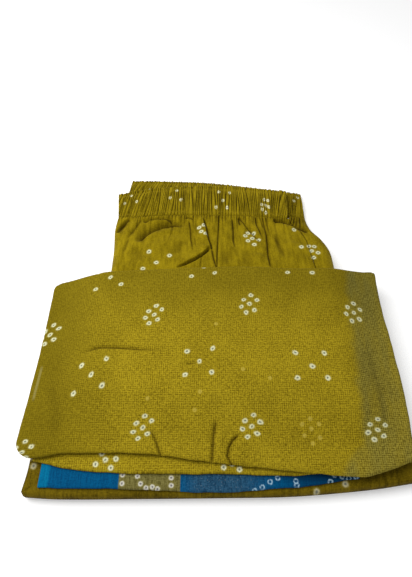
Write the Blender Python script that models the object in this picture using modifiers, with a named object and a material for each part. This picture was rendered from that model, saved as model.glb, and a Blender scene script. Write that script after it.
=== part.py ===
"""A kurti set folded for sale: a folded kurti, elastic-waist trousers laid over it, and a
folded dupatta on top. Metres, +X right, +Y away from the near edge, +Z up. The origin is on
the surface that the set lies on, under the middle of its box."""
import math
from bisect import bisect_right
from collections import namedtuple

import bpy
import bmesh

for leftover in list(bpy.data.objects):
    bpy.data.objects.remove(leftover, do_unlink=True)

# Driving dimensions
SEAM_GAP = 0.0003
COTTON_WALL = 0.0012
LEAF_WALL = 0.0016
KURTI_TOP = 0.0187
TROUSER_TOP = 0.0367
BORDER_THICKNESS = 0.0032
SECOND_LEAF_THICKNESS = 0.0040
DUPATTA_TOP = 0.0552
BAND_GATHERS = 46
BAND_THICKNESS = 0.0080
GATHER_DEPTH = 0.0011
KURTI_FAR_EDGE = 0.0280
TROUSERS_ON_TABLE = 0.0300
LEAVES_END = -0.1740
WAIST_DROP = 0.0078

ON_KURTI = KURTI_TOP + SEAM_GAP
ON_TROUSERS = TROUSER_TOP + SEAM_GAP
BORDER_TOP = ON_KURTI + BORDER_THICKNESS
SECOND_TOP = BORDER_TOP + SEAM_GAP + SECOND_LEAF_THICKNESS
ON_SECOND = SECOND_TOP + SEAM_GAP

# Tables. A row for each section, edge point or fold.
EdgePoint = namedtuple("EdgePoint", "along at")
Outline = namedtuple("Outline", "near far left right")
TrouserRow = namedtuple("TrouserRow", "y left right crown")
SeamPoint = namedtuple("SeamPoint", "y x")
BandRow = namedtuple("BandRow", "along x_seam y_seam z_seam x_top y_top z_top")
BandPoint = namedtuple("BandPoint", "across under depth")
Layer = namedtuple("Layer", "share near far left right")
Fold = namedtuple("Fold", "height width x0 y0 x1 y1")
LipLine = namedtuple("LipLine", "inset drop")
LipDrops = namedtuple("LipDrops", "near far left right")
Slope = namedtuple("Slope", "top foot")
CornerTops = namedtuple("CornerTops", "near_left near_right far_left far_right")

KURTI_OUTLINE = Outline(
    near=[EdgePoint(-0.238, -0.2738), EdgePoint(-0.196, -0.2763), EdgePoint(-0.094, -0.2760),
          EdgePoint(0.003, -0.2750), EdgePoint(0.077, -0.2739), EdgePoint(0.128, -0.2710),
          EdgePoint(0.195, -0.2647), EdgePoint(0.2505, -0.2565)],
    far=[EdgePoint(-0.232, 0.024), EdgePoint(0.0, KURTI_FAR_EDGE), EdgePoint(0.2465, 0.025)],
    left=[EdgePoint(-0.2738, -0.238), EdgePoint(-0.240, -0.2345), EdgePoint(-0.10, -0.2335),
          EdgePoint(0.024, -0.232)],
    right=[EdgePoint(-0.2565, 0.2505), EdgePoint(-0.12, 0.2480), EdgePoint(0.025, 0.2465)])

DUPATTA_OUTLINE = Outline(
    near=[EdgePoint(-0.2501, -0.2242), EdgePoint(-0.230, -0.2340), EdgePoint(-0.1915, -0.2290),
          EdgePoint(-0.119, -0.2280), EdgePoint(-0.077, -0.2300), EdgePoint(-0.034, -0.2358),
          EdgePoint(0.052, -0.2456), EdgePoint(0.140, -0.2540), EdgePoint(0.178, -0.2559),
          EdgePoint(0.205, -0.2485), EdgePoint(0.242, -0.2366)],
    far=[EdgePoint(-0.2432, 0.0287), EdgePoint(-0.198, 0.0333), EdgePoint(-0.112, 0.0380),
         EdgePoint(0.037, 0.0450), EdgePoint(0.119, 0.0414), EdgePoint(0.2432, 0.0454)],
    left=[EdgePoint(-0.2242, -0.2501), EdgePoint(-0.157, -0.2465), EdgePoint(-0.077, -0.2436),
          EdgePoint(0.0287, -0.2432)],
    right=[EdgePoint(-0.2366, 0.2420), EdgePoint(-0.155, 0.2463), EdgePoint(-0.069, 0.2442),
           EdgePoint(-0.018, 0.2417), EdgePoint(0.0454, 0.2432)])

SECOND_LEAF_OUTLINE = Outline(
    near=[EdgePoint(-0.2267, -0.2351), EdgePoint(-0.1875, -0.2435), EdgePoint(-0.1274, -0.2493),
          EdgePoint(0.027, -0.2509), EdgePoint(0.0926, -0.2524), EdgePoint(0.172, -0.2440)],
    far=[EdgePoint(-0.2240, LEAVES_END), EdgePoint(0.172, LEAVES_END)],
    left=[EdgePoint(-0.2351, -0.2267), EdgePoint(LEAVES_END, -0.2240)],
    right=[EdgePoint(-0.2440, 0.172), EdgePoint(LEAVES_END, 0.172)])

BORDER_OUTLINE = Outline(
    near=[EdgePoint(-0.2161, -0.2656), EdgePoint(-0.1197, -0.2668), EdgePoint(0.0027, -0.2709),
          EdgePoint(0.0469, -0.2681), EdgePoint(0.1084, -0.2635), EdgePoint(0.172, -0.2545)],
    far=[EdgePoint(-0.2150, LEAVES_END), EdgePoint(0.172, LEAVES_END)],
    left=[EdgePoint(-0.2656, -0.2161), EdgePoint(LEAVES_END, -0.2150)],
    right=[EdgePoint(-0.2545, 0.172), EdgePoint(LEAVES_END, 0.172)])

# Sections of the laid trousers, from the hidden folded legs to the waist
TROUSER_ROWS = [
    TrouserRow(y=-0.170, left=-0.154, right=0.180, crown=0.0322),
    TrouserRow(y=-0.164, left=-0.158, right=0.184, crown=0.0358),
    TrouserRow(y=-0.150, left=-0.160, right=0.186, crown=TROUSER_TOP),
    TrouserRow(y=0.000, left=-0.161, right=0.186, crown=TROUSER_TOP),
    TrouserRow(y=0.050, left=-0.163, right=0.188, crown=0.0362),
    TrouserRow(y=0.075, left=-0.1635, right=0.1885, crown=0.0328),
    TrouserRow(y=0.100, left=-0.164, right=0.187, crown=0.0288),
    TrouserRow(y=0.125, left=-0.166, right=0.178, crown=0.0245),
    TrouserRow(y=0.150, left=-0.168, right=0.163, crown=0.0205),
    TrouserRow(y=0.182, left=-0.166, right=0.158, crown=0.0172)]
SIDE_SEAM = [SeamPoint(0.020, 0.1575), SeamPoint(0.063, 0.1550), SeamPoint(0.087, 0.1527),
             SeamPoint(0.123, 0.1490), SeamPoint(0.182, 0.1275)]
CENTRE_SEAM = [SeamPoint(0.020, 0.0025), SeamPoint(0.063, 0.0030), SeamPoint(0.182, 0.0085)]

FRONT_BAND_ROWS = [
    BandRow(0.00, -0.1660, 0.1820, 0.0100, -0.1700, 0.2340, 0.0165),
    BandRow(0.22, -0.1050, 0.1825, 0.0172, -0.1060, 0.2445, 0.0212),
    BandRow(0.52, -0.0140, 0.1830, 0.0180, -0.0140, 0.2485, 0.0235),
    BandRow(0.77, 0.0600, 0.1810, 0.0180, 0.0610, 0.2445, 0.0225),
    BandRow(1.00, 0.1266, 0.1768, 0.0170, 0.1294, 0.2400, 0.0190)]
BACK_BAND_ROWS = [
    BandRow(0.00, -0.1580, 0.2200, 0.0048, -0.1500, 0.2790, 0.0060),
    BandRow(0.18, -0.1030, 0.2150, 0.0078, -0.0960, 0.2765, 0.0085),
    BandRow(0.50, 0.0000, 0.2050, 0.0080, 0.0020, 0.2700, 0.0095),
    BandRow(1.00, 0.1580, 0.1860, 0.0078, 0.1570, 0.2440, 0.0082)]
# Across a band, from its seam to its frilled top edge and back below
BAND_SECTION = [
    BandPoint(across=0.00, under=0.55, depth=0.2), BandPoint(0.06, 0.06, 0.6),
    BandPoint(0.45, 0.00, 1.0), BandPoint(0.86, 0.12, 0.7), BandPoint(0.97, 0.10, 1.4),
    BandPoint(1.00, 0.55, 1.2), BandPoint(0.95, 1.00, 0.0), BandPoint(0.05, 1.00, 0.0)]

# How far each folded layer stands back from the stack's outline, in metres
KURTI_LAYERS = [
    Layer(share=0.28, near=0.0000, far=0.003, left=0.0015, right=0.0010),
    Layer(share=0.22, near=0.0014, far=0.001, left=0.0000, right=0.0030),
    Layer(share=0.24, near=0.0032, far=0.004, left=0.0022, right=0.0000),
    Layer(share=0.26, near=0.0055, far=0.000, left=0.0010, right=0.0024)]
DUPATTA_LAYERS = [
    Layer(share=0.28, near=0.0105, far=0.0075, left=0.0080, right=0.0065),
    Layer(share=0.24, near=0.0085, far=0.0090, left=0.0055, right=0.0090),
    Layer(share=0.22, near=0.0095, far=0.0070, left=0.0085, right=0.0055),
    Layer(share=0.26, near=0.0095, far=0.0080, left=0.0060, right=0.0070)]
LAYER_GROOVE = 0.0016
BULGE_START, BULGE_END = 0.28, 0.72
KURTI_CORNER = 0.0070
LEAF_CORNER = 0.0040
LEG_GROOVE = 0.0010
LAYERS_CLEAR = 0.0013
CROWN_REACH, EDGE_REACH = 0.009, 0.006
BELOW_BAND_WIDTH, BELOW_BAND_MARGIN, LEAST_SQUEEZE = 0.88, 0.004, 0.08
PANEL_ROWS = 13

# Folds of the trouser front, as straight runs: a ridge is positive and a valley negative
TROUSER_FOLDS = [
    Fold(-0.0024, 0.007, -0.147, 0.175, -0.163, 0.146),
    Fold(-0.0018, 0.008, -0.117, 0.174, -0.067, 0.174),
    Fold(0.0026, 0.012, -0.125, 0.155, -0.060, 0.170),
    Fold(-0.0016, 0.009, -0.106, 0.135, -0.080, 0.158),
    Fold(-0.0014, 0.008, -0.080, 0.158, -0.048, 0.162),
    Fold(0.0022, 0.011, -0.046, 0.150, -0.036, 0.100),
    Fold(0.0030, 0.009, -0.029, 0.168, -0.019, 0.105),
    Fold(-0.0030, 0.006, -0.015, 0.131, -0.006, 0.095),
    Fold(-0.0030, 0.007, -0.008, 0.092, -0.050, 0.060),
    Fold(-0.0026, 0.007, 0.008, 0.167, 0.003, 0.050),
    Fold(0.0020, 0.009, 0.019, 0.165, 0.020, 0.110),
    Fold(-0.0018, 0.007, 0.032, 0.168, 0.033, 0.105),
    Fold(-0.0018, 0.007, 0.042, 0.173, 0.065, 0.120),
    Fold(0.0018, 0.009, 0.056, 0.168, 0.074, 0.125),
    Fold(-0.0028, 0.007, 0.083, 0.174, 0.087, 0.060),
    Fold(0.0024, 0.010, 0.098, 0.168, 0.104, 0.075),
    Fold(-0.0018, 0.008, 0.103, 0.167, 0.131, 0.163),
    Fold(-0.0016, 0.008, 0.131, 0.163, 0.150, 0.142)]

# Creases of the dupatta's top leaf
LEAF_CREASES = [
    Fold(-0.0014, 0.013, -0.179, -0.099, -0.129, -0.094),
    Fold(0.0010, 0.014, -0.170, -0.118, -0.120, -0.113),
    Fold(-0.0013, 0.011, -0.083, -0.201, -0.071, -0.224),
    Fold(-0.0016, 0.011, -0.003, -0.194, -0.007, -0.233),
    Fold(-0.0014, 0.011, 0.027, -0.205, 0.012, -0.231),
    Fold(0.0012, 0.014, 0.010, -0.200, 0.003, -0.228)]

# Lines of the leaf near an edge: how far in from the outline, and what share of the lip's drop
LIP_LINES = [LipLine(0.0022, 1.00), LipLine(0.0000, 0.62), LipLine(0.0006, 0.26),
             LipLine(0.0042, 0.00)]
LEAF_DROPS = LipDrops(near=0.0058, far=0.0140, left=0.0058, right=0.0056)
DUPATTA_CORNER_TOPS = CornerTops(near_left=0.0345, near_right=0.0325, far_left=0.0318,
                                 far_right=0.0395)
# Where the dupatta's top falls away over the edges of the legs, outward from the middle
TOP_SLOPE_LEFT, TOP_SLOPE_RIGHT = Slope(0.130, 0.238), Slope(0.160, 0.242)
TOP_SLOPE_NEAR = Slope(0.140, 0.226)
NEAR_LIFT = 0.06

# The dupatta's underside steps down where the legs end and where its lower leaves end
LEGS_LEFT, LEGS_RIGHT, LEGS_NEAR = -0.1650, 0.1900, -0.1732
LEAVES_LEFT, LEAVES_RIGHT = -0.2282, 0.1745
# Lines that divide the dupatta's hidden layers, two of them close together at each step
LINES_ACROSS = [-0.2290, -0.2274, -0.2000, -0.1660, -0.1640, -0.130, -0.090, -0.045, 0.0, 0.045,
                0.090, 0.130, 0.160, 0.1735, 0.1755, 0.1890, 0.1910, 0.216]
LINES_AWAY = [-0.2150, -0.1950, -0.1742, -0.1722, -0.150, -0.120, -0.085, -0.045, -0.010, 0.018]
CORNER_ROUNDING = 0.0050
TOPSIDE_REACH = 0.008

# Where the folds of the front fade out: below the waist seam's gathers and under the dupatta
SEAM_PLEATS = Slope(0.135, 0.182)
SEAM_PLEAT_SPACING, SEAM_PLEAT_HEIGHT = 0.0235, 0.0010
FOLDS_UNDER_DUPATTA = Slope(0.046, 0.066)
# Where the back panel drops beside the front band's right end
DROP_RIGHTWARD, DROP_AWAY = Slope(0.110, 0.140), Slope(0.150, 0.180)


def mix(low, high, share):
    return low + (high - low) * share


def fall(value, start, end):
    """1 at start and on its side of it, 0 at end and past it, and a soft slope between."""
    share = min(max((value - start) / (end - start), 0.0), 1.0)
    return 1.0 - share * share * (3.0 - 2.0 * share)


def read_table(rows, key, value, column):
    """Reads a column at any value of the key column, along a smooth curve through the rows."""
    keys = [getattr(row, key) for row in rows]
    points = [getattr(row, column) for row in rows]
    if value <= keys[0]:
        return points[0]
    if value >= keys[-1]:
        return points[-1]

    def slope(at):
        low, high = max(at - 1, 0), min(at + 1, len(keys) - 1)
        return (points[high] - points[low]) / (keys[high] - keys[low])

    first = bisect_right(keys, value) - 1
    span = keys[first + 1] - keys[first]
    t = (value - keys[first]) / span
    return ((2 * t ** 3 - 3 * t ** 2 + 1) * points[first]
            + (t ** 3 - 2 * t ** 2 + t) * span * slope(first)
            + (3 * t ** 2 - 2 * t ** 3) * points[first + 1]
            + (t ** 3 - t ** 2) * span * slope(first + 1))


def plan_point(outline, u, v):
    """The place inside an outline, u and v running from 0 to 1 across it and away."""
    def on_x(edge, share):
        along = mix(edge[0].along, edge[-1].along, share)
        return along, read_table(edge, "along", along, "at")

    near_x, near_y = on_x(outline.near, u)
    far_x, far_y = on_x(outline.far, u)
    left_y, left_x = on_x(outline.left, v)
    right_y, right_x = on_x(outline.right, v)
    near, far = outline.near, outline.far
    corner_x = mix(mix(near[0].along, near[-1].along, u), mix(far[0].along, far[-1].along, u), v)
    corner_y = mix(mix(near[0].at, near[-1].at, u), mix(far[0].at, far[-1].at, u), v)
    return (mix(near_x, far_x, v) + mix(left_x, right_x, u) - corner_x,
            mix(near_y, far_y, v) + mix(left_y, right_y, u) - corner_y)


def fold_relief(folds, x, y):
    """The sum of all folds at a place: each is a rounded ridge or valley along a straight run."""
    relief = 0.0
    for fold in folds:
        run_x, run_y = fold.x1 - fold.x0, fold.y1 - fold.y0
        along = ((x - fold.x0) * run_x + (y - fold.y0) * run_y) / (run_x ** 2 + run_y ** 2)
        along = min(max(along, 0.0), 1.0)
        away = math.hypot(x - fold.x0 - along * run_x, y - fold.y0 - along * run_y)
        relief += fold.height * math.exp(-(away / fold.width) ** 2)
    return relief


def dupatta_floor(x, y):
    """What the folded dupatta rests on: the legs, its own lower leaves or the kurti."""
    if LEGS_LEFT < x < LEGS_RIGHT and y > LEGS_NEAR:
        return ON_TROUSERS
    if LEAVES_LEFT < x < LEAVES_RIGHT and y < LEGS_NEAR:
        return ON_SECOND
    return ON_KURTI


def dupatta_top(x, y):
    """The upper face of the top leaf, without the lip at its edges."""
    corners = DUPATTA_CORNER_TOPS
    outline = DUPATTA_OUTLINE
    rightward = (x - outline.near[0].along) / (outline.near[-1].along - outline.near[0].along)
    away = (y - outline.left[0].along) / (outline.left[-1].along - outline.left[0].along)
    edge = mix(mix(corners.near_left, corners.near_right, rightward),
               mix(corners.far_left, corners.far_right, rightward), away)
    across = fall(-x, *TOP_SLOPE_LEFT) * fall(x, *TOP_SLOPE_RIGHT)
    lifted = across * mix(NEAR_LIFT, 1.0, fall(-y, *TOP_SLOPE_NEAR))
    return mix(edge, DUPATTA_TOP, lifted) + fold_relief(LEAF_CREASES, x, y)


def extreme_around(height, x, y, reach, choose):
    """The highest or lowest value of a height function near a place."""
    steps = (-reach, 0.0, reach)
    return choose(height(x + dx, y + dy) for dx in steps for dy in steps)


def waist_line(x):
    """Where the front panels end, just short of the front band's seam."""
    share = (x - FRONT_BAND_ROWS[0].x_seam) / (FRONT_BAND_ROWS[-1].x_seam - FRONT_BAND_ROWS[0].x_seam)
    return read_table(FRONT_BAND_ROWS, "along", share, "y_seam") - SEAM_GAP


def back_waist_line(x):
    """Where the back panel and the hidden layers end, just short of the back band's seam."""
    share = (x - BACK_BAND_ROWS[0].x_seam) / (BACK_BAND_ROWS[-1].x_seam - BACK_BAND_ROWS[0].x_seam)
    return read_table(BACK_BAND_ROWS, "along", share, "y_seam") - SEAM_GAP


def finish(item, collection, colour, roughness):
    """Puts an object in its collection, gives it a material of its own and shades it smooth."""
    for owner in list(item.users_collection):
        owner.objects.unlink(item)
    collection.objects.link(item)
    material = bpy.data.materials.new(item.name + "_cloth")
    material.use_nodes = True
    shader = material.node_tree.nodes["Principled BSDF"]
    shader.inputs["Base Color"].default_value = (*colour, 1.0)
    shader.inputs["Roughness"].default_value = roughness
    shader.inputs["Metallic"].default_value = 0.0
    item.data.materials.clear()
    item.data.materials.append(material)
    item.data.shade_smooth()
    item.data.set_sharp_from_angle(angle=math.radians(50))
    return item


def loft(name, rings):
    """A closed solid through rings of equal count, with a flat cap on each end ring."""
    work = bmesh.new()
    loops = [[work.verts.new(point) for point in ring] for ring in rings]
    count = len(loops[0])
    for low, high in zip(loops, loops[1:]):
        for i in range(count):
            j = (i + 1) % count
            work.faces.new((low[i], low[j], high[j], high[i]))
    work.faces.new(reversed(loops[0]))
    work.faces.new(loops[-1])
    return solid_from(work, name)


def solid_from(work, name):
    """Turns a closed bmesh into an object whose faces point outwards."""
    bmesh.ops.recalc_face_normals(work, faces=work.faces)
    if work.calc_volume(signed=True) < 0:
        bmesh.ops.reverse_faces(work, faces=work.faces)
    mesh = bpy.data.meshes.new(name)
    work.to_mesh(mesh)
    work.free()
    item = bpy.data.objects.new(name, mesh)
    bpy.context.scene.collection.objects.link(item)
    return item


def cloth_wall(name, columns, rows, place, thickness):
    """A cloth wall: a grid placed by a function of two shares, then given its thickness."""
    bpy.ops.mesh.primitive_grid_add(x_subdivisions=columns, y_subdivisions=rows, size=2.0)
    item = bpy.context.object
    item.name = name
    for vertex in item.data.vertices:
        i = round((vertex.co.x + 1.0) / 2.0 * columns)
        j = round((vertex.co.y + 1.0) / 2.0 * rows)
        vertex.co = place(i, j)
    wall = item.modifiers.new("Cloth thickness", "SOLIDIFY")
    wall.thickness = thickness
    wall.offset = -1.0
    return item


def rounded_ring(outline, width, depth, radius, long_steps, short_steps, corner_steps):
    """Places round an outline with rounded corners, and the outward direction at each."""
    half_x, half_y = width / 2, depth / 2
    points = []
    corners = [(1, -1, -90), (1, 1, 0), (-1, 1, 90), (-1, -1, 180)]
    steps = [short_steps, long_steps, short_steps, long_steps]
    for (side_x, side_y, start), count in zip(corners, steps):
        centre_x, centre_y = side_x * (half_x - radius), side_y * (half_y - radius)
        for k in range(corner_steps + 1):
            angle = math.radians(start + 90 * k / corner_steps)
            points.append((centre_x + radius * math.cos(angle), centre_y + radius * math.sin(angle),
                           math.cos(angle), math.sin(angle)))
        last = points[-1]
        run = depth - 2 * radius if start in (-90, 90) else width - 2 * radius
        turn = math.radians(start + 90)
        for k in range(1, count):
            share = run * k / count
            points.append((last[0] - math.sin(turn) * share, last[1] + math.cos(turn) * share,
                           math.cos(turn), math.sin(turn)))
    return points


def layer_levels(layers):
    """The levels of a layered edge: a groove, then the two sides of the bulge, for each layer."""
    levels = []
    base = 0.0
    for layer in layers:
        levels += [(base, layer, LAYER_GROOVE), (base + BULGE_START * layer.share, layer, 0.0),
                   (base + BULGE_END * layer.share, layer, 0.0)]
        base += layer.share
    return levels + [(1.0, layers[-1], LAYER_GROOVE)]


def layered_slab(name, outline, layers, floor, thickness, radius, steps):
    """A flat solid of folded layers: each bulges at the edge and is parted by a groove."""
    width = outline.near[-1].along - outline.near[0].along
    depth = outline.left[-1].along - outline.left[0].along
    spots = rounded_ring(outline, width, depth, radius, *steps)

    def ring(share, layer, groove):
        points = []
        for x, y, out_x, out_y in spots:
            inset = groove + out_x ** 2 * (layer.right if out_x > 0 else layer.left) \
                + out_y ** 2 * (layer.far if out_y > 0 else layer.near)
            u = (x - out_x * inset) / width + 0.5
            v = (y - out_y * inset) / depth + 0.5
            points.append((*plan_point(outline, u, v), floor + thickness * share))
        return points

    rings = [ring(share, layer, groove) for share, layer, groove in layer_levels(layers)]
    return loft(name, rings)


def trouser_size(y):
    """The trousers' left edge, right edge and underside at one section."""
    left = read_table(TROUSER_ROWS, "y", y, "left")
    right = read_table(TROUSER_ROWS, "y", y, "right")
    floor = 0.0 if y > TROUSERS_ON_TABLE - 0.0005 else ON_KURTI
    return left, right, floor


def trouser_crown(x, y):
    """How high the trousers stand at a place: the back panel lies lower beside the front band."""
    crown = read_table(TROUSER_ROWS, "y", y, "crown")
    return crown - WAIST_DROP * (1 - fall(x, *DROP_RIGHTWARD)) * (1 - fall(y, *DROP_AWAY))


def trouser_surface(x, y):
    """The upper face of the trouser front, folds included."""
    left, right, floor = trouser_size(y)
    radius = (trouser_crown(x, y) - floor) / 2
    past = min(max(left + radius - x, x - right + radius, 0.0), radius)
    arc = math.sqrt(radius ** 2 - past ** 2)
    pleats = SEAM_PLEAT_HEIGHT * math.cos(2 * math.pi * x / SEAM_PLEAT_SPACING)
    gathers = pleats * (1 - fall(y, *SEAM_PLEATS))
    free = min((1 - past / radius) * 3, 1.0) * (1 - fall(y, *FOLDS_UNDER_DUPATTA))
    return floor + radius + arc + free * (fold_relief(TROUSER_FOLDS, x, y) + gathers)


def open_relief(x, y):
    """The folds alone, which the hidden layers dip below near the rounded edge."""
    return fold_relief(TROUSER_FOLDS, x, y) - 0.0010


def under_front_band(x, y):
    """How high the hidden layers may reach below the front band."""
    first, last = FRONT_BAND_ROWS[0], FRONT_BAND_ROWS[-1]
    along = (x - first.x_seam) / (last.x_seam - first.x_seam)
    near, far = (read_table(FRONT_BAND_ROWS, "along", along, name) for name in ("y_seam", "y_top"))
    across = min(max((y - near) / (far - near), 0.0), 1.0)
    heights = (read_table(FRONT_BAND_ROWS, "along", along, name) for name in ("z_seam", "z_top"))
    return mix(*heights, across) - BAND_THICKNESS - 0.0008


def folded_kurti():
    """The kurti, folded to a flat rectangle, its layers sharing one solid."""
    return layered_slab("kurti_folded", KURTI_OUTLINE, KURTI_LAYERS, 0.0, KURTI_TOP,
                        KURTI_CORNER, (14, 8, 4))


def trouser_front(name, left_seam, right_seam, columns):
    """One front panel: from the waist seam to where the dupatta hides it. The panel with no
    left seam starts half way down the rounded left edge."""
    arc_steps = 0 if left_seam else 4

    def place(i, j):
        share = j / PANEL_ROWS
        y = mix(TROUSERS_ON_TABLE, waist_line(0.0), share)
        for _ in range(2):
            left, right, floor = trouser_size(y)
            radius = (trouser_crown(left, y) - floor) / 2
            if i < arc_steps:
                x = left + radius - radius * math.cos(math.radians(90 * i / arc_steps))
            else:
                start = read_table(left_seam, "y", y, "x") + SEAM_GAP if left_seam else left + radius
                end = read_table(right_seam, "y", y, "x") - SEAM_GAP
                x = mix(start, end, (i - arc_steps) / (columns - arc_steps))
            y = mix(TROUSERS_ON_TABLE, waist_line(x), share)
        return x, y, trouser_surface(x, y)

    return cloth_wall(name, columns, PANEL_ROWS, place, COTTON_WALL)


def trouser_back():
    """The back panel: from the side seam round the right edge, flat on the table, and round
    the left edge to the front panel."""
    top_steps, arc_steps, floor_steps, rise_steps = 4, 7, 8, 3
    turned = top_steps + arc_steps
    columns = turned + floor_steps + rise_steps

    def place(i, j):
        share = j / PANEL_ROWS
        y = mix(TROUSERS_ON_TABLE, waist_line(0.0), share)
        for _ in range(2):
            left, right, floor = trouser_size(y)
            right_radius = (trouser_crown(right, y) - floor) / 2
            left_radius = (trouser_crown(left, y) - floor) / 2
            if i <= top_steps:
                x = mix(read_table(SIDE_SEAM, "y", y, "x") + SEAM_GAP, right - right_radius,
                        i / top_steps)
                z = trouser_surface(x, y)
                last = mix(waist_line(x), back_waist_line(x), i / top_steps)
            elif i <= turned:
                angle = math.radians(90 - 180 * (i - top_steps) / arc_steps)
                x = right - right_radius + right_radius * math.cos(angle)
                z = floor + right_radius + right_radius * math.sin(angle)
                last = back_waist_line(x)
            elif i <= turned + floor_steps:
                x = mix(right - right_radius, left + left_radius, (i - turned) / floor_steps)
                z = floor
                last = back_waist_line(x)
            else:
                angle = math.radians(-90 - 80 * (i - turned - floor_steps) / rise_steps)
                x = left + left_radius + left_radius * math.cos(angle)
                z = floor + left_radius + left_radius * math.sin(angle)
                last = waist_line(x)
            y = mix(TROUSERS_ON_TABLE, last, share)
        return x, y, z

    return cloth_wall("trouser_back", columns, PANEL_ROWS, place, COTTON_WALL)


def trouser_layers():
    """The folded legs and all that the front panels hide, as one rounded solid."""
    clear = COTTON_WALL + LAYERS_CLEAR
    bottom_steps, arc_steps, top_steps = 10, 6, 18
    sections = [-0.170, -0.164, -0.150, -0.080, -0.010, 0.0288, TROUSERS_ON_TABLE, 0.044,
                0.058, 0.072, 0.086, 0.100, 0.114, 0.128, 0.142, 0.156, 0.170]

    def section(y):
        left, right, floor = trouser_size(y)
        inset = clear if floor == 0.0 else 0.0
        left_radius = (trouser_crown(left, y) - floor) / 2 - inset
        right_radius = (trouser_crown(right, y) - floor) / 2 - inset
        left, right, floor = left + inset, right - inset, floor + inset
        points = []
        for k in range(bottom_steps):
            points.append((mix(left + left_radius, right - right_radius, k / bottom_steps), y, floor))
        for k in range(arc_steps):
            angle = math.radians(-90 + 180 * k / arc_steps)
            size = right_radius - LEG_GROOVE * (k % 2)
            points.append((right - right_radius + size * math.cos(angle), y,
                           floor + right_radius + size * math.sin(angle)))
        for k in range(top_steps):
            x = mix(right - right_radius, left + left_radius, k / top_steps)
            if floor > ON_KURTI - 0.0001:
                high = trouser_crown(x, y) - 0.0001
            else:
                high = extreme_around(trouser_surface, x, y, CROWN_REACH, min) - clear
            points.append((x, y, high))
        for k in range(arc_steps):
            angle = math.radians(90 + 180 * k / arc_steps)
            size = left_radius - LEG_GROOVE * (k % 2)
            x = left + left_radius + size * math.cos(angle)
            dip = min(extreme_around(open_relief, x, y, EDGE_REACH, min), 0.0) if k < 2 else 0.0
            points.append((x, y, floor + left_radius + size * math.sin(angle) + dip))
        return points

    def below_band(ring, share):
        """A ring in the wedge between the back panel and the front band."""
        low, high = min(z for x, y, z in ring), max(z for x, y, z in ring)
        points = []
        for x, y, z in ring:
            x = x * BELOW_BAND_WIDTH
            y = mix(y + BELOW_BAND_MARGIN, back_waist_line(x) - BELOW_BAND_MARGIN, share)
            squeeze = (under_front_band(x, y) - low) / (high - low)
            points.append((x, y, mix(low, z, min(max(squeeze, LEAST_SQUEEZE), 1.0))))
        return points

    rings = [section(y) for y in sections]
    return loft("trouser_layers", rings + [below_band(rings[-1], 0.0), below_band(rings[-1], 1.0)])


def uneven(i, amount, phase):
    """A small fixed unevenness for the i-th gather."""
    return amount * math.sin(i * 2.39996 + phase) * math.cos(i * 0.731 + 2 * phase)


def waistband(name, rows, lowest, phase):
    """One half of the gathered casing: a flat tube whose wall rises at each gather."""
    rings = []
    for gather in range(BAND_GATHERS):
        for part, rise in ((0.0, -1.0), (0.30, 0.75), (0.68, 0.95)):
            along = (gather + part + (uneven(gather, 0.14, phase) if part else 0.0)) / BAND_GATHERS
            along = along if rings else 0.0
            depth = GATHER_DEPTH * (rise + uneven(gather, 0.35, phase + 1))
            rings.append(band_ring(rows, along, depth, lowest))
    rings.append(band_ring(rows, 1.0, -GATHER_DEPTH, lowest))
    return loft(name, rings)


def band_ring(rows, along, depth, lowest):
    """One section across a waistband."""
    row = BandRow(*[read_table(rows, "along", along, column) for column in BandRow._fields])
    points = []
    for spot in BAND_SECTION:
        top = mix(row.z_seam, row.z_top, spot.across)
        bottom = 0.0 if lowest else top - BAND_THICKNESS
        z = mix(top + depth * spot.depth, bottom, spot.under)
        points.append((mix(row.x_seam, row.x_top, spot.across),
                       mix(row.y_seam, row.y_top, spot.across), z))
    return points


def dupatta_leaf(name, outline, floor, thickness):
    """A lower leaf of the dupatta that shows under the top leaf's near edge."""
    single = [Layer(share=1.0, near=0.0, far=0.0, left=0.0, right=0.0)]
    return layered_slab(name, outline, single, floor, thickness, LEAF_CORNER, (16, 3, 3))


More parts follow.
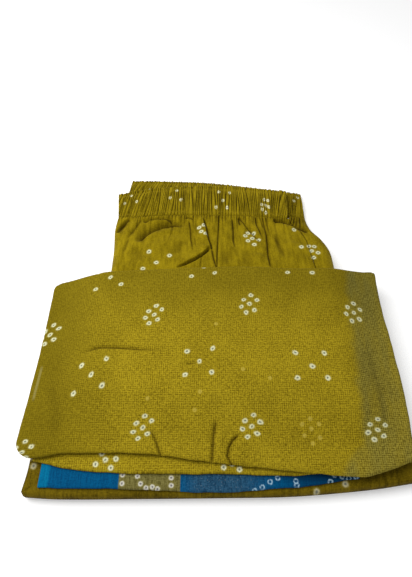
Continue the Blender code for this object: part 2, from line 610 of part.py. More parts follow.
def dupatta_layers():
    """The dupatta's hidden folds as one rounded solid, stepped below to fit what it lies on."""
    outline = DUPATTA_OUTLINE
    last_i, last_j = len(LINES_ACROSS) + 1, len(LINES_AWAY) + 1

    def spot(i, j, layer, groove):
        at_side, at_end = i in (0, last_i), j in (0, last_j)
        inset = groove + (CORNER_ROUNDING if at_side and at_end else 0.0)
        y = LINES_AWAY[min(max(j, 1), last_j - 1) - 1]
        if i == 0:
            x = read_table(outline.left, "along", y, "at") + layer.left + inset
        elif i == last_i:
            x = read_table(outline.right, "along", y, "at") - layer.right - inset
        else:
            x = LINES_ACROSS[i - 1]
        if j == 0:
            y = read_table(outline.near, "along", x, "at") + layer.near + inset
        elif j == last_j:
            y = read_table(outline.far, "along", x, "at") - layer.far - inset
        return x, y

    def height(x, y, share):
        top = extreme_around(dupatta_top, x, y, TOPSIDE_REACH, min) - LEAF_WALL - 2 * SEAM_GAP
        return mix(dupatta_floor(x, y), top, share)

    border = [(i, 0) for i in range(last_i)] + [(last_i, j) for j in range(last_j)] \
        + [(i, last_j) for i in range(last_i, 0, -1)] + [(0, j) for j in range(last_j, 0, -1)]
    work = bmesh.new()
    rings = []
    for share, layer, groove in layer_levels(DUPATTA_LAYERS):
        places = [spot(i, j, layer, groove) for i, j in border]
        rings.append([work.verts.new((x, y, height(x, y, share))) for x, y in places])
    for low, high in zip(rings, rings[1:]):
        for k, corner in enumerate(low):
            after = (k + 1) % len(low)
            work.faces.new((corner, low[after], high[after], high[k]))
    for ring, share in ((rings[0], 0.0), (rings[-1], 1.0)):
        cap = dict(zip(border, ring))
        for i in range(1, last_i):
            for j in range(1, last_j):
                x, y = LINES_ACROSS[i - 1], LINES_AWAY[j - 1]
                cap[i, j] = work.verts.new((x, y, height(x, y, share)))
        for i in range(last_i):
            for j in range(last_j):
                work.faces.new((cap[i, j], cap[i + 1, j], cap[i + 1, j + 1], cap[i, j + 1]))
    return solid_from(work, "dupatta_layers")


def dupatta_top_leaf():
    """The top leaf, its edges rolled down over the layers."""
    inner_columns, inner_rows = 24, 14
    lip = len(LIP_LINES)
    columns, rows = inner_columns + 2 * lip - 2, inner_rows + 2 * lip - 2
    outline = DUPATTA_OUTLINE
    width = outline.near[-1].along - outline.near[0].along
    depth = outline.left[-1].along - outline.left[0].along

    def line(index, last, size, low_drop, high_drop):
        if index < lip:
            spot = LIP_LINES[index]
            return spot.inset / size, spot.drop * low_drop
        if last - index < lip:
            spot = LIP_LINES[last - index]
            return 1 - spot.inset / size, spot.drop * high_drop
        inset = LIP_LINES[-1].inset / size
        share = (index - lip + 1) / (last - 2 * lip + 2)
        return mix(inset, 1 - inset, share), 0.0

    def place(i, j):
        u, drop_x = line(i, columns, width, LEAF_DROPS.left, LEAF_DROPS.right)
        v, drop_y = line(j, rows, depth, LEAF_DROPS.near, LEAF_DROPS.far)
        x, y = plan_point(outline, u, v)
        return x, y, dupatta_top(x, y) - max(drop_x, drop_y)

    return cloth_wall("dupatta_top_leaf", columns, rows, place, LEAF_WALL)


def build():
    collection = bpy.data.collections.new("Kurti set")
    bpy.context.scene.collection.children.link(collection)
    kurti_colour, cotton, sheer = (0.080, 0.062, 0.008), (0.279, 0.205, 0.013), (0.266, 0.195, 0.012)
    blue = (0.012, 0.085, 0.165)
    finish(folded_kurti(), collection, kurti_colour, 0.8)
    finish(trouser_back(), collection, cotton, 0.8)
    finish(trouser_layers(), collection, cotton, 0.8)
    finish(trouser_front("trouser_front_left", None, CENTRE_SEAM, 21), collection, cotton, 0.8)
    finish(trouser_front("trouser_front_right", CENTRE_SEAM, SIDE_SEAM, 15), collection, cotton, 0.8)
    finish(waistband("waistband_back", BACK_BAND_ROWS, True, 0.4), collection, cotton, 0.8)
    finish(waistband("waistband_front", FRONT_BAND_ROWS, False, 1.7), collection, cotton, 0.8)
    finish(dupatta_leaf("dupatta_border", BORDER_OUTLINE, ON_KURTI, BORDER_THICKNESS),
           collection, blue, 0.75)
    finish(dupatta_leaf("dupatta_second_leaf", SECOND_LEAF_OUTLINE, BORDER_TOP + SEAM_GAP,
                        SECOND_LEAF_THICKNESS), collection, sheer, 0.85)
    finish(dupatta_layers(), collection, sheer, 0.85)
    finish(dupatta_top_leaf(), collection, sheer, 0.85)


build()
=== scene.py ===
"""The looks of a kurti set folded for sale: a folded kurti, gathered trousers laid over it and a
folded dupatta on top, in tied-and-dyed cloth. Metres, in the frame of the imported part: +X right,
+Y away from the near edge, +Z up."""

import math
from collections import namedtuple

import bpy
import numpy as np
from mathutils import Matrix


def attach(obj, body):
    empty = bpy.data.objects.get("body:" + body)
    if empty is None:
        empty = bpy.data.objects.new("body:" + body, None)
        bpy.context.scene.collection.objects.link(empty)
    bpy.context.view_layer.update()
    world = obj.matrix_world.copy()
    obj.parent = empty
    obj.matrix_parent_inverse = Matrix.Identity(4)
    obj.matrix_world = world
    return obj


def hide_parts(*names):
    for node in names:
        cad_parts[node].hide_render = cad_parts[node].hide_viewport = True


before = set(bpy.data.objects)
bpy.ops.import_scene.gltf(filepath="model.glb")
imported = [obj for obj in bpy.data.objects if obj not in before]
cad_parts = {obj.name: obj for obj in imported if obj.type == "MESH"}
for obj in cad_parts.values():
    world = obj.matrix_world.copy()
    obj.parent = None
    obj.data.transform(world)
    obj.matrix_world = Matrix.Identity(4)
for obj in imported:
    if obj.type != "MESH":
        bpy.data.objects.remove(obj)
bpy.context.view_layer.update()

EdgePoint = namedtuple("EdgePoint", "along at")
Outline = namedtuple("Outline", "near far left right")
TrouserRow = namedtuple("TrouserRow", "y left right crown")
SeamPoint = namedtuple("SeamPoint", "y x")
BandRow = namedtuple("BandRow", "along x_seam y_seam z_seam x_top y_top z_top")
BandPoint = namedtuple("BandPoint", "across under depth")
Layer = namedtuple("Layer", "share near far left right")
Crease = namedtuple("Crease", "height width lee fade_in fade_out path")
LipLine = namedtuple("LipLine", "inset drop")
Slope = namedtuple("Slope", "start end")
Motif = namedtuple("Motif", "a b x y")

# Driving dimensions, as in the part's source
SEAM_GAP = 0.0003
KURTI_TOP = 0.0187
TROUSER_TOP = 0.0367
BORDER_THICKNESS = 0.0032
SECOND_LEAF_THICKNESS = 0.0040
DUPATTA_TOP = 0.0552
BAND_GATHERS = 72
BAND_THICKNESS = 0.0080
TROUSERS_ON_TABLE = 0.0300
WAIST_DROP = 0.0078

ON_KURTI = KURTI_TOP + SEAM_GAP
ON_TROUSERS = TROUSER_TOP + SEAM_GAP
BORDER_TOP = ON_KURTI + BORDER_THICKNESS
SECOND_TOP = BORDER_TOP + SEAM_GAP + SECOND_LEAF_THICKNESS
ON_SECOND = SECOND_TOP + SEAM_GAP

# Cloth
COTTON = 0.0006
SHEER = 0.0005
GATHERED_LENGTH, BAND_WIDTH = 0.42, 0.062
GATHER_DEPTH = 0.0019
STITCHES = 138
STITCH_RADIUS, STITCH_LENGTH, STITCH_LIFT = 0.00022, 0.0021, 0.00012
STITCH_ROWS = [("top", 0.875), ("seam", 0.100)]

# How much painted shade creases get: full from this depth, fading past this width, soft between these
DEEP_CREASE = 0.0026
WIDE_CREASE = 0.0050
SOFT_CREASE = Slope(0.0040, 0.0070)

# Where the top leaf's face slopes, and what it rests on
TOP_NEAR_LEFT, TOP_NEAR_RIGHT, TOP_FAR_LEFT, TOP_FAR_RIGHT = 0.0345, 0.0325, 0.0318, 0.0395
TOP_SLOPE_LEFT, TOP_SLOPE_RIGHT = Slope(0.146, 0.247), Slope(0.160, 0.242)
TOP_SLOPE_NEAR = Slope(0.140, 0.226)
NEAR_LIFT = 0.06
LEGS_LEFT, LEGS_RIGHT, LEGS_NEAR = Slope(-0.180, -0.166), Slope(0.191, 0.206), Slope(-0.19, -0.174)
LEAVES_LEFT, LEAVES_RIGHT = Slope(-0.236, -0.228), Slope(0.174, 0.182)
DROP_NEAR, DROP_FAR, DROP_LEFT, DROP_RIGHT = 0.0058, 0.0140, 0.0058, 0.0056

# The stacks' edges: the noses at the first and last fold, and how far a rolled near edge curls
UNDER_NOSE, OVER_NOSE = 0.0017, 0.0022
ROLL_OVER, ROLL_UNDER = 0.0045, 0.0065
INWARD = (0.97, 0.90, 0.75, 0.50, 0.25, 0.0)

# The trousers: where they sink beside the front band, and how they meet the bands and seams
FOLDS_UNDER_DUPATTA = Slope(0.046, 0.066)
DROP_RIGHTWARD, DROP_AWAY = Slope(0.110, 0.140), Slope(0.150, 0.180)
BESIDE_BAND = Slope(0.1265, 0.1310)
FRONT_LAP, BACK_LAP = 0.0013, 0.0011
SEAM_WIDTH, SEAM_DIP, SIDE_SEAM_DIP = 0.0012, 0.0016, 0.0009
GATHER_LIFT, SWELL = 0.0020, 0.0016
GATHERS_START, GATHERS_LENGTH = -0.166, 0.2926
LEG_INSET, LEG_CLEARANCE = 0.0035, 0.0085
LEG_SECTIONS = (-0.170, -0.166, -0.160, -0.148, -0.110, -0.070, -0.030, 0.000, 0.0288,
                TROUSERS_ON_TABLE, 0.044, 0.058, 0.072, 0.086, 0.100, 0.114, 0.128, 0.142,
                0.156, 0.168)
# How far the gathers lean, and where along the band they do
GATHER_SLANTS = [(0.058, Slope(0.42, 0.10)), (-0.010, Slope(0.60, 0.75)),
                 (0.046, Slope(0.86, 0.96))]


def mm(*values):
    """Millimetres, as the tables give them, in metres."""
    return [value / 1000 for value in values]


def edge(*points):
    return [EdgePoint(*mm(*point)) for point in points]


def spots(*points):
    return [tuple(mm(*point)) for point in points]


def crease(height, width, lee, fade_in, fade_out, *path):
    return Crease(*mm(height, width), lee, fade_in, fade_out, spots(*path))


# Outlines seen from above: how far along each edge a point lies, and where
KURTI_OUTLINE = Outline(
    near=edge((-238, -273.8), (-196, -276.3), (-94, -276), (3, -275), (77, -273.9), (128, -271),
              (195, -264.7), (250.5, -256.5)),
    far=edge((-232, 24), (0, 28), (246.5, 25)),
    left=edge((-273.8, -238), (-240, -234.5), (-100, -233.5), (24, -232)),
    right=edge((-256.5, 250.5), (-120, 248), (25, 246.5)))
DUPATTA_OUTLINE = Outline(
    near=edge((-250.1, -224.2), (-230, -234), (-191.5, -229), (-119, -228), (-77, -230),
              (-34, -235.8), (52, -245.6), (140, -254), (178, -255.9), (205, -248.5),
              (242, -236.6)),
    far=edge((-243.2, 28.7), (-198, 33.3), (-112, 38), (37, 45), (119, 41.4), (243.2, 45.4)),
    left=edge((-224.2, -250.1), (-157, -246.5), (-77, -243.6), (28.7, -243.2)),
    right=edge((-236.6, 242), (-155, 246.3), (-69, 244.2), (-18, 241.7), (45.4, 243.2)))
SECOND_LEAF_OUTLINE = Outline(
    near=edge((-226.7, -235.1), (-187.5, -243.5), (-127.4, -249.3), (27, -250.9), (92.6, -252.4),
              (172, -244)),
    far=edge((-224, -174), (172, -174)),
    left=edge((-235.1, -226.7), (-174, -224)),
    right=edge((-244, 172), (-174, 172)))
BORDER_OUTLINE = Outline(
    near=edge((-216.1, -265.6), (-119.7, -266.8), (2.7, -270.9), (46.9, -268.1), (108.4, -263.5),
              (172, -254.5)),
    far=edge((-215, -174), (172, -174)),
    left=edge((-265.6, -216.1), (-174, -215)),
    right=edge((-254.5, 172), (-174, 172)))

# The trousers' sections and seams
TROUSER_ROWS = [TrouserRow(*mm(*row)) for row in [
    (-170, -154, 180, 32.2), (-164, -158, 184, 35.8), (-150, -160, 186, 36.7),
    (0, -161, 186, 36.7), (50, -163, 188, 36.2), (75, -163.5, 188.5, 32.8), (100, -164, 187, 28.8),
    (125, -166, 178, 24.5), (150, -168, 163, 20.5), (182, -166, 158, 17.2)]]
SIDE_SEAM = [SeamPoint(*mm(*row)) for row in [
    (20, 157.5), (63, 155), (87, 152.7), (123, 149), (182, 127.5)]]
CENTRE_SEAM = [SeamPoint(*mm(*row)) for row in [(20, 2.5), (63, 3), (182, 8.5)]]
FRONT_BAND_ROWS = [
    BandRow(0, *mm(-166, 182, 10, -170, 234, 16.5)),
    BandRow(0.22, *mm(-105, 182.5, 17.2, -106, 244.5, 21.2)),
    BandRow(0.52, *mm(-14, 183, 18, -14, 248.5, 23.5)),
    BandRow(0.77, *mm(60, 181, 18, 61, 244.5, 22.5)),
    BandRow(1, *mm(126.6, 176.8, 17, 129.4, 240, 19))]
BACK_BAND_ROWS = [
    BandRow(0, *mm(-158, 220, 4.8, -150, 279, 6)),
    BandRow(0.18, *mm(-103, 215, 7.8, -96, 276.5, 8.5)),
    BandRow(0.5, *mm(0, 205, 8, 2, 270, 9.5)),
    BandRow(1, *mm(158, 186, 7.8, 157, 244, 8.2))]
# Across a band: up over the seam, two stitched channels, the frill, and back below
BAND_FORM = [BandPoint(*row) for row in [(0, 0.28, 0.5), (0.02, 0.14, 0.7), (0.055, 0.07, 0.9),
    (0.1, 0.1, 0.5), (0.145, 0.03, 0.9), (0.3, 0, 1.1), (0.5, 0, 1.2), (0.7, 0.02, 1.1),
    (0.82, 0.08, 0.8), (0.875, 0.16, 0.4), (0.915, 0.1, 0.8), (0.955, 0.08, 1), (0.985, 0.18, 0.9),
    (1, 0.42, 0.6), (0.99, 0.75, 0.3), (0.95, 0.97, 0.1), (0.7, 1, 0), (0.35, 1, 0), (0.05, 1, 0),
    (0.008, 0.85, 0), (0, 0.28, 0.5)]]

# The stacks' folds: each one's share of the height, and its inset at each edge
KURTI_FOLDS = [
    Layer(0.13, *mm(4.6, 3, 2, 1.2)), Layer(0.13, *mm(2, 1.2, 0.6, 2.8)),
    Layer(0.15, *mm(0.7, 3.4, 2.4, 0.6)), Layer(0.17, *mm(0.2, 1, 0.4, 2.2)),
    Layer(0.2, *mm(0.9, 2.8, 2, 0.4)), Layer(0.22, *mm(3.4, 0.4, 1, 1.8))]
DUPATTA_FOLDS = [
    Layer(0.15, *mm(10.5, 8.5, 8.5, 7)), Layer(0.14, *mm(9, 9.5, 6, 9.2)),
    Layer(0.14, *mm(10, 7.8, 8, 6)), Layer(0.14, *mm(8.8, 8.8, 5, 8.2)),
    Layer(0.14, *mm(9.8, 7.6, 7.6, 5.8)), Layer(0.14, *mm(9, 9, 5.6, 7.8)),
    Layer(0.15, *mm(9.5, 8, 6.4, 6.6))]
# Across one fold's edge: how far up it, and how far back from the fold's nose
FOLD_NOSE = [(0, 0.0017), (0.1, 0.0009), (0.28, 0.0002), (0.5, 0), (0.72, 0.0002), (0.9, 0.0009)]
# The rolled edge of the top leaf, from under its rim to its flat
LIP_LINES = [LipLine(0.0026, 1), LipLine(0.001, 0.86), LipLine(0.0002, 0.66), LipLine(0, 0.46),
             LipLine(0.0005, 0.28), LipLine(0.0014, 0.14), LipLine(0.0026, 0.05),
             LipLine(0.0044, 0)]

# Creases: a ridge is positive and a trough negative, and lee widens the left side. Height,
# width, lee, the shares over which it fades in and out, and its path
POUCH_EDGE = [(-7.4, 96), (-9.3, 109.4), (-12.4, 121.8), (-15.5, 147.3), (-20.4, 170.9),
              (-23.5, 176)]
POUCH_HEM = [(-62, 58), (-47.4, 65), (-34, 74.5), (-19, 88.5), (-9, 101)]
LEAF_CREASES = [
    crease(-3.2, 1.4, 2.2, 0.14, 0.6, (-181, -100), (-165, -95.5), (-152, -94), (-129, -95),
           (-100, -97), (-45, -101)),
    crease(1.6, 6.5, 1, 0.3, 0.5, (-180, -110), (-150, -103), (-120, -104)),
    crease(-1.8, 1.3, 1.8, 0.3, 0.4, (-42, -119), (-25, -117)),
    crease(-2.2, 1.7, 2.6, 0.35, 0, (-85, -199), (-77, -212), (-70, -230)),
    crease(-2.3, 2.3, 1.8, 0.2, 0.05, (-1, -187), (-5, -210), (-7, -240)),
    crease(-3, 1.7, 2.2, 0.2, 0, (30, -204), (19, -213), (14, -222), (12, -232), (17, -242)),
    crease(1.8, 5.5, 1, 0.4, 0.1, (3, -200), (1, -238)),
    crease(1.6, 6, 1, 0.4, 0.1, (34, -206), (24, -242)),
    crease(-0.6, 5, 1, 0.3, 0.3, (205, -70), (212, -150), (214, -215)),
    crease(0.9, 11, 1, 0.3, 0.3, (-200, -20), (-120, -12)),
    crease(-0.8, 7, 1, 0.3, 0.3, (-225, -130), (-205, -175), (-200, -220))]
TROUSER_CREASES = [
    crease(-6, 3.4, 1.6, 0.06, 0.15, (-145.5, 173), (-154.5, 157), (-164, 139)),
    crease(-1.8, 2.6, 1.4, 0.08, 0.4, (-123.5, 172), (-135.5, 141.2), (-147, 115.8)),
    crease(1.8, 5, 1, 0.2, 0.4, (-129, 176), (-139.9, 147.3), (-149.5, 121.8)),
    crease(-4.8, 3, 1.5, 0.1, 0.12, (-121.5, 165), (-109.7, 171.2), (-94.3, 173.9), (-77.1, 170.1),
           (-69, 161)),
    crease(2.6, 9, 1, 0.25, 0.25, (-118, 159), (-90, 168), (-56, 170)),
    crease(-6.8, 3.6, 2.2, 0.16, 0.2, (-127, 112), (-124, 117.6), (-116.5, 128.4), (-105, 141.9),
           (-88.9, 152.3), (-68.2, 158.3), (-47, 154.2)),
    crease(4, 7, 1, 0.25, 0.3, (-115, 116), (-99, 131), (-80, 139.5), (-55, 140)),
    crease(4.6, 20, 1, 0.35, 0.35, (-115, 88), (-80, 112), (-40, 118)),
    crease(-2.2, 2.1, 1.5, 0.15, 0.15, (-51, 173.5), (-43.1, 176.5), (-35, 169)),
    crease(-1, 1.3, 1.8, 0.1, 0.45, (-74.1, 173.5), (-69.3, 159.8), (-70.8, 137.6), (-77, 106.3),
           (-80, 92)),
    crease(-2.8, 1.4, 1.8, 0.1, 0.35, (-43.1, 171), (-39.9, 147.3), (-38.6, 121.8), (-34.3, 91.3)),
    crease(-1.5, 1.4, 1.5, 0.3, 0.35, (-33, 130), (-30, 101)),
    crease(4.6, 1.6, 7, 0.08, 0.12, *POUCH_EDGE),
    crease(-3.4, 1.5, 1, 0.05, 0.15, *[(x + 3, y) for x, y in POUCH_EDGE]),
    crease(3.4, 1.3, 9, 0.35, 0.05, *POUCH_HEM),
    crease(-4, 1.7, 1, 0.05, 0.1, *[(x + 1.7, y - 2.4) for x, y in POUCH_HEM]),
    crease(-1.5, 1.2, 1.3, 0.2, 0.1, (-20.3, 84), (-23.1, 54)),
    crease(-2.6, 1.4, 1, 0.25, 0.05, (-5, 101), (-1.6, 73.9), (2.4, 56)),
    crease(2.2, 6, 1, 0.15, 0.35, (19, 172), (20, 105)),
    crease(1.6, 5, 1, 0.15, 0.35, (-4, 170), (-3, 130)),
    crease(-3, 1.4, 1.9, 0.08, 0.35, (31.3, 174), (31.8, 140.8), (30.9, 118.7), (32.9, 103.2),
           (37.6, 94)),
    crease(-3.4, 1.8, 1.5, 0.1, 0.4, (41.6, 176), (42.7, 163), (44, 154)),
    crease(-3.6, 1.5, 2, 0.08, 0.3, (42.4, 179), (49.1, 163), (58.6, 144), (67.8, 126.5),
           (79, 107)),
    crease(-3.2, 1.4, 1.8, 0.08, 0.35, (70.4, 180), (71.1, 159.8), (75.8, 137.6), (79, 122)),
    crease(-2, 1.3, 1.8, 0.08, 0.4, (78.4, 180), (80.8, 163), (83, 143)),
    crease(2.6, 6, 1, 0.2, 0.35, (57, 172), (69, 148), (80, 123)),
    crease(-3.8, 1.5, 2.2, 0.04, 0.06, (82.5, 180), (83.8, 159.8), (85.9, 134.4), (85.8, 109.4),
           (84.7, 85.4), (86.2, 54)),
    crease(-2.2, 1.3, 1.4, 0.08, 0.4, (88.2, 178), (90.1, 147.3), (90.8, 130)),
    crease(2.2, 5, 1, 0.15, 0.4, (96, 174), (98.5, 138), (96, 90)),
    crease(-1.4, 5, 1, 0.3, 0.4, (97.3, 134.4), (105.7, 97.2), (112.5, 68.3)),
    crease(-6, 3.8, 2, 0.05, 0.06, (100, 170), (106, 167.4), (116.4, 166.6), (130, 161.7),
           (141.7, 152.3), (156, 140)),
    crease(-3, 1.3, 1.4, 0.02, 0.3, (135.5, 186), (130, 164)),
    crease(-3, 1.3, 1.4, 0.02, 0.25, (140, 186), (134, 160)),
    crease(-3, 1.2, 1.4, 0.02, 0.25, (144, 186), (139, 156)),
    crease(-3, 1.3, 1.4, 0.02, 0.2, (149, 186), (145, 150)),
    crease(2.2, 9, 1, 0.2, 0.3, (112, 154), (134, 144)),
    crease(-1.4, 3, 1.4, 0.3, 0.3, (-140, 130), (-146, 85)),
    crease(-2.2, 12, 1, 0.35, 0.35, (-130, 105), (-110, 70)),
    crease(-2, 9, 1, 0.3, 0.35, (-55, 120), (-60, 80)),
    crease(2, 8, 1, 0.3, 0.3, (-35, 48), (-10, 65)),
    crease(-1.6, 8, 1, 0.3, 0.3, (52, 100), (48, 60)),
    crease(1.8, 9, 1, 0.3, 0.3, (68, 90), (66, 58)),
    crease(-1.6, 7.5, 1, 0.3, 0.3, (18, 100), (19, 60)),
    crease(1.2, 8, 1, 0.3, 0.3, (120, 120), (135, 80))]

# The tied print of the dupatta: flowers at whole steps of its lattice, quincunxes half way
PRINT_WIDTH, PRINT_LENGTH = 0.143, 0.168
FLOWER = spots((0, 0), (1.9, 16.3), (-8.3, 8), (-11.9, -3.8), (-5.2, -14.2), (6.2, -9.7),
    (10.5, 7.5))
QUINCUNX = spots((0, 0), (-18, 16.5), (18, 18.5), (-18.5, -18.5), (17.5, -16.5))
PRINT_MOTIFS = [Motif(a, b, *mm(x, y)) for a, b, x, y in [(0, 0, -239.5, -228),
    (1, 0, -92.5, -198.5), (2, 0, 43, -198), (3, 0, 200.5, -200.5), (0.5, 0.5, -163, -133),
    (1.5, 0.5, -22.6, -115), (2.5, 0.5, 124.7, -122), (0.626, 0.61, -145.3, -111.4),
    (0.374, 0.598, -178.1, -118.7), (0.622, 0.402, -147, -148.4), (0.371, 0.39, -184, -157.2),
    (0, 1, -234, -63), (1, 1, -86.7, -43), (2, 1, 47.7, -25), (3, 1, 195.8, -35),
    (0.5, 1.5, -155, 22), (1.5, 1.5, -17, 42), (2.5, 1.5, 127, 46)]]
# Where the cloth below shows through the right of the top leaf as a grey-green tint
TINT_EDGE = edge((-260, 145), (-238, 159), (-211, 178), (-138.5, 180.5), (-3, 190), (45, 196))
# Tied dots that show on the other pieces, and faint ones that show through the top leaf
TROUSER_DOTS = spots((-104.7, 90.1), (-91.4, 65.9), (-71.7, 81.4), (-111.2, 52.5), (-25.4, 148.8),
    (-21.8, 137.7), (-17.7, 152.4), (-14.7, 131.9), (50.9, 129.4), (64.7, 136.5), (61.9, 123.3),
    (71.7, 120.3), (54.5, 117.5), (64.1, 108.1), (55.7, 137.7), (132.9, 144.7), (139.4, 101.5),
    (152, 104.4), (160.4, 103.2), (154.7, 92.9), (164, 88.2), (155.7, 77.5))
FRONT_BAND_DOTS = spots((-142.4, 230.1), (-153.7, 211.2), (-132.3, 214.3), (-63.1, 238.1),
    (-73.7, 220.2), (-55.7, 215.3), (8, 233.1), (26.7, 230.9), (15, 212.9), (3.1, 198.4),
    (22, 196.8), (86.2, 215.3), (92.8, 214.3), (81.6, 204.2), (89.3, 202.3), (94.2, 199.6),
    (82.2, 194.1), (88.3, 187.3))
BACK_BAND_DOTS = spots((150.9, 234.3), (143, 224), (-120, 252), (-132, 240))
KURTI_DOTS = spots((-226.7, -239.7), (-230, -229), (154.4, -261), (119, -269.7))
SECOND_LEAF_DOTS = spots((-142.4, -227), (-137.2, -234.6), (-124.5, -233.4), (-148.6, -240),
    (-129.7, -244.2), (7.5, -243.7), (17.7, -239.4), (26.6, -246.1))
BORDER_DOTS = spots((-115.3, -251.4), (-115, -261.4), (-97, -253), (-92.7, -261.8),
    (-85.8, -266.4), (-78.2, -265.3), (-72, -267.6), (-56.1, -254.9), (-55.7, -263.7))
BORDER_RINGS = spots((44.2, -269.8), (53.3, -265.9), (63.1, -259.5), (72.7, -254.9),
    (94.4, -258.8), (94.8, -263.6), (136, -259.2), (141.3, -251.4), (150.7, -253.4),
    (158.5, -255.4), (167.1, -253.4))
GHOST_DOTS = spots((-21.6, -156.8), (-28.4, -178.3), (-0.2, -58.1), (34.2, -126.3), (68.5, -139),
    (117.2, -200), (116.5, -188.5), (106, -195), (127, -194.5), (108, -208), (127.2, -210.5),
    (117.5, -217), (-88, -165))


def mix(low, high, share):
    return low + (high - low) * share


def ease(value, start, end):
    """0 before start, 1 past end, with a soft slope between."""
    share = np.clip((value - start) / (end - start), 0.0, 1.0)
    return share * share * (3.0 - 2.0 * share)


def bell(distance, width, power=2):
    """1 at a line, and next to nothing well past a width from it."""
    return np.exp(-(distance / width) ** power)


def wander(along, wavelength, seed):
    """A slow unevenness, from about -1 to 1, along a line."""
    turn = 2.0 * math.pi * along / wavelength
    return (np.sin(turn + seed) + 0.7 * np.sin(1.73 * turn + 2.1 * seed)
            + 0.4 * np.sin(2.91 * turn + 3.7 * seed)) / 2.1


def ripple(x, y, wavelength, seed):
    """A slow unevenness over a surface."""
    return wander(x + 0.45 * y, wavelength, seed) * wander(y - 0.35 * x, 1.3 * wavelength, seed + 2)


def read_table(rows, key, values, column):
    """Reads a column at any values of the key column, along a smooth curve through the rows."""
    keys = np.array([getattr(row, key) for row in rows])
    points = np.array([getattr(row, column) for row in rows])
    slopes = np.empty_like(points)
    slopes[1:-1] = (points[2:] - points[:-2]) / (keys[2:] - keys[:-2])
    slopes[0] = (points[1] - points[0]) / (keys[1] - keys[0])
    slopes[-1] = (points[-1] - points[-2]) / (keys[-1] - keys[-2])
    values = np.clip(values, keys[0], keys[-1])
    first = np.clip(np.searchsorted(keys, values, side="right") - 1, 0, len(keys) - 2)
    span = keys[first + 1] - keys[first]
    t = (values - keys[first]) / span
    return ((2 * t ** 3 - 3 * t ** 2 + 1) * points[first]
            + (t ** 3 - 2 * t ** 2 + t) * span * slopes[first]
            + (3 * t ** 2 - 2 * t ** 3) * points[first + 1]
            + (t ** 3 - t ** 2) * span * slopes[first + 1])


def outline_size(outline):
    """An outline's width, along its near edge, and its depth, along its left edge."""
    return (outline.near[-1].along - outline.near[0].along,
            outline.left[-1].along - outline.left[0].along)


def plan_point(outline, u, v):
    """The place inside an outline, u and v running from 0 to 1 across it and away."""
    near, far, left, right = outline
    near_y, far_y = (read_table(side, "along", mix(side[0].along, side[-1].along, u), "at")
                     for side in (near, far))
    left_y, right_y = (mix(side[0].along, side[-1].along, v) for side in (left, right))
    left_x, right_x = read_table(left, "along", left_y, "at"), read_table(right, "along", right_y, "at")
    corner_y = mix(mix(near[0].at, near[-1].at, u), mix(far[0].at, far[-1].at, u), v)
    return mix(left_x, right_x, u), mix(near_y, far_y, v) + mix(left_y, right_y, u) - corner_y


def creases_at(creases, x, y):
    """The height that all creases add at each place, and how much painted shade their troughs give it.
    """
    relief, shade = np.zeros_like(x), np.zeros_like(x)
    for crease in creases:
        path = np.array(crease.path)
        runs = np.diff(path, axis=0)
        lengths = np.hypot(runs[:, 0], runs[:, 1])
        nearest = np.full(x.shape, np.inf)
        along, side, passed = np.zeros_like(x), np.zeros_like(x), 0.0
        for (x0, y0), (run_x, run_y), length in zip(path, runs, lengths):
            share = np.clip(((x - x0) * run_x + (y - y0) * run_y) / length ** 2, 0.0, 1.0)
            dx, dy = x - x0 - share * run_x, y - y0 - share * run_y
            away = np.hypot(dx, dy)
            closer = away < nearest
            nearest = np.where(closer, away, nearest)
            along = np.where(closer, passed + share * length, along)
            side = np.where(closer, run_x * dy - run_y * dx, side)
            passed += length
        share = along / passed
        strength = ease(share, -0.001, crease.fade_in) * (1 - ease(share, 1 - crease.fade_out, 1.001))
        lee_width = crease.width * crease.lee
        spread = bell(nearest, np.where(side > 0, lee_width, crease.width))
        relief += crease.height * strength * spread
        # Troughs also get painted shade, darkest along their line
        if crease.height < 0:
            soft = 0.25 + 0.50 * ease(lee_width, *SOFT_CREASE)
            dark = (1 - soft) * bell(nearest, 0.62 * crease.width) + soft * spread
            hollow = min(1.0, -crease.height / DEEP_CREASE) * min(1.0, WIDE_CREASE / crease.width) ** 1.5
            shade = np.maximum(shade, hollow * strength * dark)
    return relief, shade


def smooth_through(places, values, x, y):
    """A thin plate bent through a value at each place, and read at every x and y."""
    def bend(dx, dy):
        square = dx ** 2 + dy ** 2
        return square * np.log(square + 1e-12)

    places, values = np.array(places), np.array(values)
    count = len(places)
    system = np.zeros((count + 3, count + 3))
    system[:count, :count] = bend(places[:, None, 0] - places[None, :, 0],
                                  places[:, None, 1] - places[None, :, 1])
    system[:count, count:] = np.column_stack([np.ones(count), places])
    system[count:, :count] = system[:count, count:].T
    weights = np.linalg.solve(system, np.concatenate([values, np.zeros(3)]))
    plate = weights[count] + weights[count + 1] * x + weights[count + 2] * y
    for (place_x, place_y), weight in zip(places, weights):
        plate += weight * bend(x - place_x, y - place_y)
    return plate


def dupatta_floor(x, y):
    """What the folded dupatta rests on: the legs, its own lower leaves or the kurti."""
    far = ease(y, *LEGS_NEAR)
    over_legs = ease(x, *LEGS_LEFT) * (1 - ease(x, *LEGS_RIGHT)) * far
    over_leaves = ease(x, *LEAVES_LEFT) * (1 - ease(x, *LEAVES_RIGHT)) * (1 - far)
    return ON_KURTI + (ON_TROUSERS - ON_KURTI) * over_legs + (ON_SECOND - ON_KURTI) * over_leaves


def dupatta_top(x, y):
    """The upper face of the top leaf, without the lip at its edges."""
    width, depth = outline_size(DUPATTA_OUTLINE)
    rightward = (x - DUPATTA_OUTLINE.near[0].along) / width
    away = (y - DUPATTA_OUTLINE.left[0].along) / depth
    rim = mix(mix(TOP_NEAR_LEFT, TOP_NEAR_RIGHT, rightward),
              mix(TOP_FAR_LEFT, TOP_FAR_RIGHT, rightward), away)
    across = (1 - ease(-x, *TOP_SLOPE_LEFT)) * (1 - ease(x, *TOP_SLOPE_RIGHT))
    return mix(rim, DUPATTA_TOP, across * mix(NEAR_LIFT, 1.0, 1 - ease(-y, *TOP_SLOPE_NEAR)))


